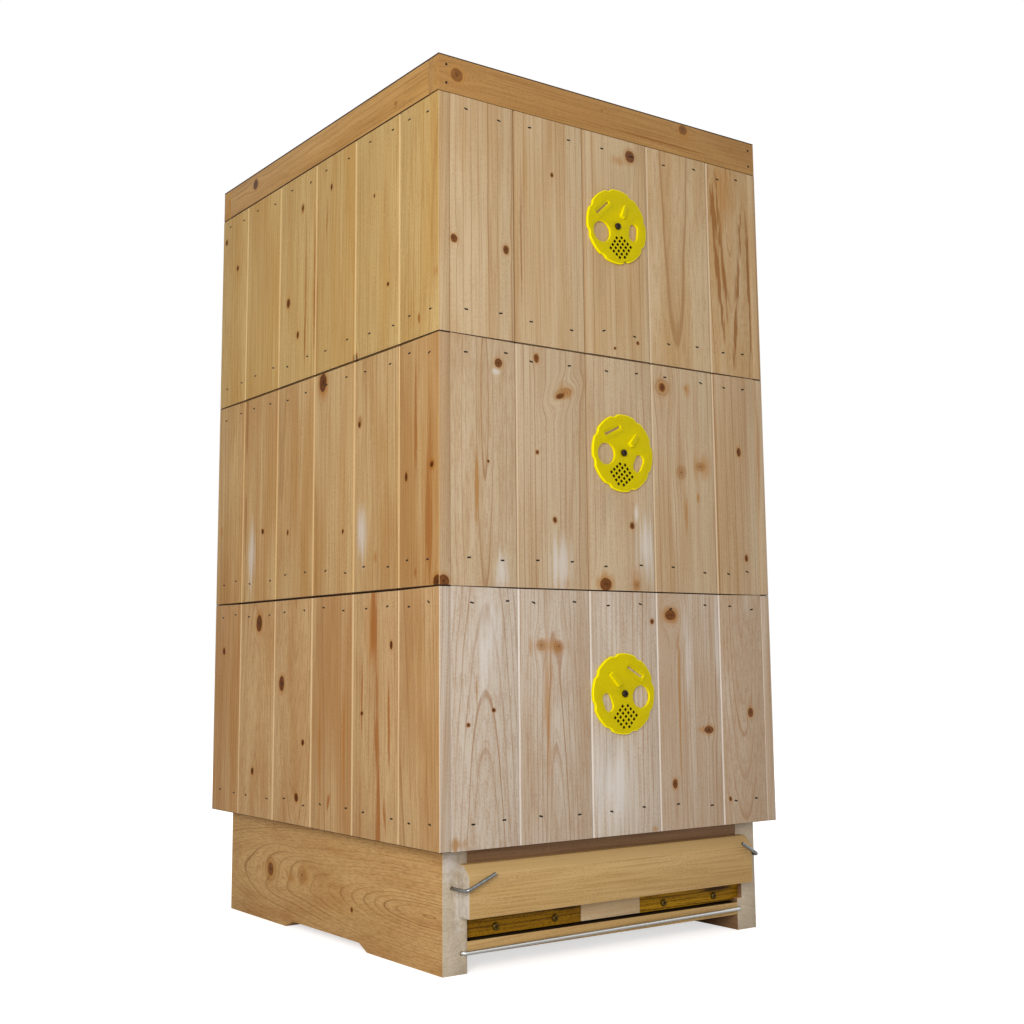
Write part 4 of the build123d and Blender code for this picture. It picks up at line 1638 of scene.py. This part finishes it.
def shared_finishes() -> Finishes:
    """Makes the materials that several sub-assemblies use.

    Returns:
        Materials by short name.
    """
    finishes = {name: finish.build() for name, finish in SHARED.items()}
    # Near-black streaks along the bars' top: partly painted shadow of the board above, partly stain
    streaks = marks_of(STREAK=((-100, 48, 150, 6), (-50, 45, 60, 8), (80, 48, 90, 7), (150, 46, 70, 12)))
    finishes["bar"] = BAR_PINE.build(Side.FRONT, Side.FRONT.face("entrance_bars"), streaks)
    return finishes


def upper_body() -> HiveBody:
    """The body under the roof: pale front, yellow flanks.

    Returns:
        The body.
    """
    front = PineFinish("upper_front_pine", "#C8AF8B", "#B9976A", "#8E5E2A", "#A27C50", ring_width=8.0,
                       line_share=0.18, calm=0.2, contrast=0.7, fibres=0.26)
    # The flank's pale edge colour is a painted highlight on its bevels
    flank = PineFinish("upper_flank_pine", "#C7A870", "#BB9355", "#96622A", "#DEC28E", contrast=0.5,
                       resin="#96591E", **FLANK_LOOK)
    marks = {
        Side.FRONT: marks_of(
            KNOT=((-197.6, 684.8, 8, 8), (-136.1, 683.6, 7, 9), (27.5, 813.8, 13, 13)),
            PIN=((-77.6, 772.1, 3.6, 4.6), (1.8, 602.1, 3, 3), (33.4, 611.2, 4, 4)),
            STAIN=((12, 806, 34, 14), (163, 800, 40, 120)),
            STREAK=(
                (152, 715, 8, 340, -0.09), (159, 735, 7, 270, -0.09), (181, 680, 8, 280, 0.1),
                (148, 775, 14, 150, -0.09), (200, 700, 6, 240, -0.02), (-118, 700, 5, 190),
            ),
        ),
        Side.LEFT: marks_of(
            KNOT=((66.2, 686.8, 8, 10), (-88.6, 594.9, 8, 9)),
            PIN=(
                (33.3, 789.5, 4, 7), (-33.7, 795.2, 4, 7), (204.4, 761.2, 6, 6), (238, 802, 6, 7),
                (42.2, 645.1, 5, 8), (-153.7, 658.4, 4, 4), (-125.8, 758.6, 3, 4),
            ),
            EYE=((33.3, 789.5, 9, 13),),
            STAIN=((-243, 651, 14, 18),),
            STREAK=((-212.2, 611.3, 6, 14), (1, 670, 10, 270), (-24, 759, 7, 140), (25, 665, 7, 230)),
        ),
        Side.RIGHT: marks_of(KNOT=((-120, 690, 10, 12), (60, 760, 7, 8), (190, 640, 12, 14))),
        Side.REAR: marks_of(KNOT=((-150, 720, 9, 10), (-20, 640, 13, 15), (120, 780, 6, 7))),
    }
    cuts = {Side.FRONT: {
        0: Cut(-46.0, 16.0, 0.01, 1.1), 1: Cut(60.0, 20.0, -0.01, 0.7), 2: Cut(70.0, 14.0, 0.0, 0.9),
        3: Cut(8.0, 26.0, -0.06, 1.5), 4: Cut(-2.0, 14.0, -0.11, 0.8),
    }}
    tones = {Side.FRONT: (0.3, 0.45, 0.3, 0.5, 0.85), Side.LEFT: (0.4, 0.4, 0.6, 0.3, 0.5, 0.35)}
    return HiveBody("upper", front, flank, marks, cuts, tones, gleams=(3, 4), seam_rise=0.0, vents_turn=10.5)


def middle_body() -> HiveBody:
    """The middle body: many knots and painted sheen on its front, orange flanks.

    Returns:
        The body.
    """
    front = PineFinish("middle_front_pine", "#C4AE8F", "#B49570", "#8E5E2E", "#A9855C", resin="#A87A44",
                       ring_width=7.0, line_share=0.2, calm=0.15, contrast=0.7)
    # The flank's pale edge colour is a painted highlight on its bevels
    flank = PineFinish("middle_flank_pine", "#C8A877", "#B38752", "#8A5422", "#DFBE8A", contrast=0.7,
                       resin="#9C6430", **FLANK_LOOK)
    marks = {
        Side.FRONT: marks_of(
            KNOT=(
                (-146.4, 568.5, 9, 9), (-100.2, 579.1, 6, 9), (-71, 544, 9, 6, 0.8), (65.7, 567.8, 8, 9),
                (-16.1, 357.9, 15, 13), (-210.2, 355.8, 12, 12),
            ),
            PIN=(
                (176.2, 507.4, 6, 10), (-79.6, 419.2, 5, 6), (20.4, 418.7, 6, 7), (-100.3, 485, 4, 4),
                (-159, 471.5, 3, 3), (182.7, 391.4, 5, 7),
            ),
            EYE=(
                (-67, 547, 22, 14, 0.8), (65.7, 567.8, 24, 22), (90.3, 478.9, 15, 17),
                (118, 487, 16, 11), (24.9, 358.3, 11, 12),
            ),
            STAIN=(
                (-62, 550, 30, 24), (101, 569, 13, 20), (121.9, 487.3, 34, 34), (-18, 360, 30, 24),
                (24.9, 364, 18, 30), (-65.8, 358, 12, 18),
            ),
            STREAK=((99.3, 570.4, 6, 11), (95, 436, 7, 80), (114, 453, 6, 14), (-172, 450, 8, 90)),
            # Painted sheen
            SHEEN=(
                (26, 431, 10, 24), (37, 398, 30, 80), (-73, 377, 34, 70), (-144, 366, 22, 44),
                (-150, 560, 14, 8),
            ),
        ),
        Side.LEFT: marks_of(
            KNOT=((-18.5, 580.5, 16, 20), (-244, 355.8, 14, 12)),
            PIN=(
                (-98, 523, 5, 6), (-234.7, 465.9, 6, 6), (122.9, 431.3, 6, 6), (60, 425, 4, 6),
                (-64.6, 416.1, 4, 5), (-189.2, 458.7, 5, 9),
            ),
            EYE=((-99.4, 525.7, 10, 14), (-234.7, 465.9, 13, 12)),
            STAIN=((-18.5, 574, 24, 34), (-131, 384.9, 12, 16), (235.6, 439.8, 12, 20)),
            STREAK=((-205.7, 365.8, 8, 16), (-230, 431, 18, 260), (-207, 500, 7, 180)),
            # Painted sheen
            SHEEN=((-105, 411, 26, 70), (150, 402, 22, 90)),
        ),
        Side.RIGHT: marks_of(KNOT=((-60, 520, 14, 15), (130, 420, 8, 9))),
        Side.REAR: marks_of(KNOT=((90, 520, 12, 12), (-110, 430, 8, 10)), PIN=((10, 560, 5, 6),)),
    }
    cuts = {Side.FRONT: {
        0: Cut(2.0, 10.0, -0.06, 0.8), 2: Cut(-60.0, 18.0, 0.0, 1.0), 3: Cut(-50.0, 20.0, 0.01, 0.7),
    }}
    tones = {Side.FRONT: (0.4, 0.35, 0.35, 0.45, 0.6), Side.LEFT: (0.8, 0.35, 0.45, 0.5, 0.5, 0.55)}
    return HiveBody("middle", front, flank, marks, cuts, tones, gleams=(1, 3, 4), vents_turn=-6.5)


def lower_body() -> HiveBody:
    """The body on the stand: greyish front with closer grain, brown flanks.

    Returns:
        The body.
    """
    # Both pines' pale edge colours are a painted highlight on the bevels of their joints
    front = PineFinish("lower_front_pine", "#C8BAA9", "#B59D83", "#94622E", "#E6DED4", resin="#A57946",
                       ring_width=3.4, line_share=0.26, calm=0.4, contrast=0.75)
    flank = PineFinish("lower_flank_pine", "#C7A577", "#AF8250", "#8A5424", "#E1C59B", contrast=0.75,
                       resin="#9E602A", **FLANK_LOOK)
    marks = {
        Side.FRONT: marks_of(
            KNOT=((69.6, 328.5, 15, 11), (119.7, 210.2, 13, 8), (181.7, 226.4, 8, 10), (70.7, 157.7, 7, 10)),
            PIN=((44.1, 321.7, 5, 5), (-154.8, 237.3, 4, 4), (-183.4, 224.4, 4, 4), (148.1, 138.1, 4, 5)),
            EYE=((69.6, 328.5, 24, 20), (-98.2, 297.4, 12, 12), (-77.1, 296.2, 13, 13)),
            STAIN=((-90, 296.5, 66, 22), (-91, 246, 15, 150), (108, 210.5, 14, 10), (42, 115, 16, 8)),
            STREAK=((80, 240, 5, 170), (-174, 256, 5, 60), (-196, 118, 26, 20)),
            # Painted sheen
            SHEEN=((-160, 300, 46, 110), (-10, 160, 70, 120), (92, 290, 10, 130), (134, 300, 8, 110)),
        ),
        Side.LEFT: marks_of(
            KNOT=((128.1, 326.9, 14, 19), (69.5, 260, 12, 17)),
            PIN=(
                (18.5, 198.7, 6, 6), (31.8, 140.8, 8, 9), (139.8, 162.1, 6, 8), (221.5, 296.3, 7, 8),
                (-106.2, 232.1, 5, 4), (-162.3, 298.5, 5, 8),
            ),
            STAIN=((-122, 320, 30, 90), (-20, 200, 14, 190), (-70, 200, 10, 190)),
            STREAK=(
                (-39, 142, 9, 24, -0.3), (-132, 320, 16, 260, 0.03), (-138, 140, 15, 300, 0.03),
                (-150, 138, 9, 60, 0.1), (-158, 230, 6, 200, 0.03), (-106, 230, 5, 220, -0.03),
            ),
        ),
        Side.RIGHT: marks_of(KNOT=((-150, 300, 13, 14), (20, 190, 9, 10), (180, 260, 11, 11))),
        Side.REAR: marks_of(KNOT=((-60, 230, 12, 13), (140, 300, 9, 9)), PIN=((60, 160, 6, 7),)),
    }
    cuts = {
        Side.FRONT: {
            0: Cut(3.0, 26.0, 0.1, 1.7), 1: Cut(2.0, 20.0, 0.05, 1.2), 2: Cut(50.0, 22.0, -0.03, 1.6),
            3: Cut(-40.0, 18.0, 0.02, 1.0), 4: Cut(0.0, 20.0, -0.14, 1.3),
        },
        Side.LEFT: {
            1: Cut(0.0, 12.0, 0.05, 1.4), 3: Cut(4.0, 24.0, -0.12, 1.2), 4: Cut(-6.0, 22.0, 0.1, 1.0),
        },
    }
    tones = {Side.FRONT: (0.2, 0.4, 0.25, 0.65, 1.05), Side.LEFT: (0.35, 0.3, 0.5, 0.4, 0.4, 0.55)}
    return HiveBody("lower", front, flank, marks, cuts, tones, vents_turn=3.5)


def stand() -> Stand:
    """The stand, with close brown arches on its rails and greyish sawn ends.

    Returns:
        The stand.
    """
    rail = PineFinish("flat_sawn_rail_pine", "#C7A069", "#B28450", "#74461C", "#BC9362", ring_width=2.8,
                      line_share=0.28, calm=0.35, core="#7C4C20", rim="#4C2C10", specular=0.03, lying=True)
    post = PineFinish("sawn_end_pine", "#C9BAA4", "#B9A991", "#927F66", "#CBBDA6", contrast=0.35)
    rail_marks = marks_of(
        KNOT=((121, 56, 13, 14),),
        PIN=((-61.5, 36.5, 5, 5),),
        EYE=((121, 56, 34, 32), (46, 58, 22, 22)),
        STAIN=((38.3, 60, 34, 24), (75, 52, 30, 20)),
    )
    # The posts' pale patches are a whitish smear
    return Stand(rail, post, rail_marks, marks_of(SHEEN=((-190, 98, 22, 40), (-182, 60, 12, 60))))


def roof() -> Roof:
    """The roof, with an orange rim whose side boards are painted dark along their top and bottom bevels,
    standing for the shadow line under the roof.

    Returns:
        The roof.
    """
    rim = PineFinish("orange_rim_pine", "#BC9159", "#A77B46", "#74491E", "#B08448", core="#84552A",
                     rim="#5A3516", ring_width=5.0, contrast=0.5, lying=True)
    # The side boards' dark edge colour is painted shade, standing for the shadow line under the roof
    flank = replace(rim, pale="#C09457", warm="#AE8044", edge="#3C2614", edge_share=0.9, core="#5A2A08",
                    rim="#220E02")
    marks = {
        Side.FRONT: marks_of(
            KNOT=((-193.8, 850.3, 14, 14), (105.6, 861.1, 12, 11)),
            STAIN=((107, 854, 20, 26),),
            STREAK=((-10, 856, 4, 8), (0, 840, 420, 2.4)),
        ),
        Side.LEFT: marks_of(KNOT=((157.6, 854.3, 13, 13),), STREAK=((-167.5, 843, 12, 14),)),
    }
    return Roof(rim, flank, marks)


def main() -> None:
    """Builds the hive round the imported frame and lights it."""
    logging.basicConfig(level=logging.INFO, format="%(name)s: %(message)s")
    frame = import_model()
    record = frame["record"]
    body_of = {node: body for body, nodes in record["behaviour"]["bodies"].items() for node in nodes}
    slot_of = {part["node"]: part["material_slot"] for part in record["subparts"]}
    shop = Workshop(frame["nodes"], body_of, slot_of)
    fasteners = Fasteners()
    finishes = shared_finishes()
    for assembly in (lower_body(), middle_body(), upper_body(), stand(), roof()):
        assembly.build(shop, fasteners, finishes)
    Studio().build()


if __name__ == "__main__":
    main()
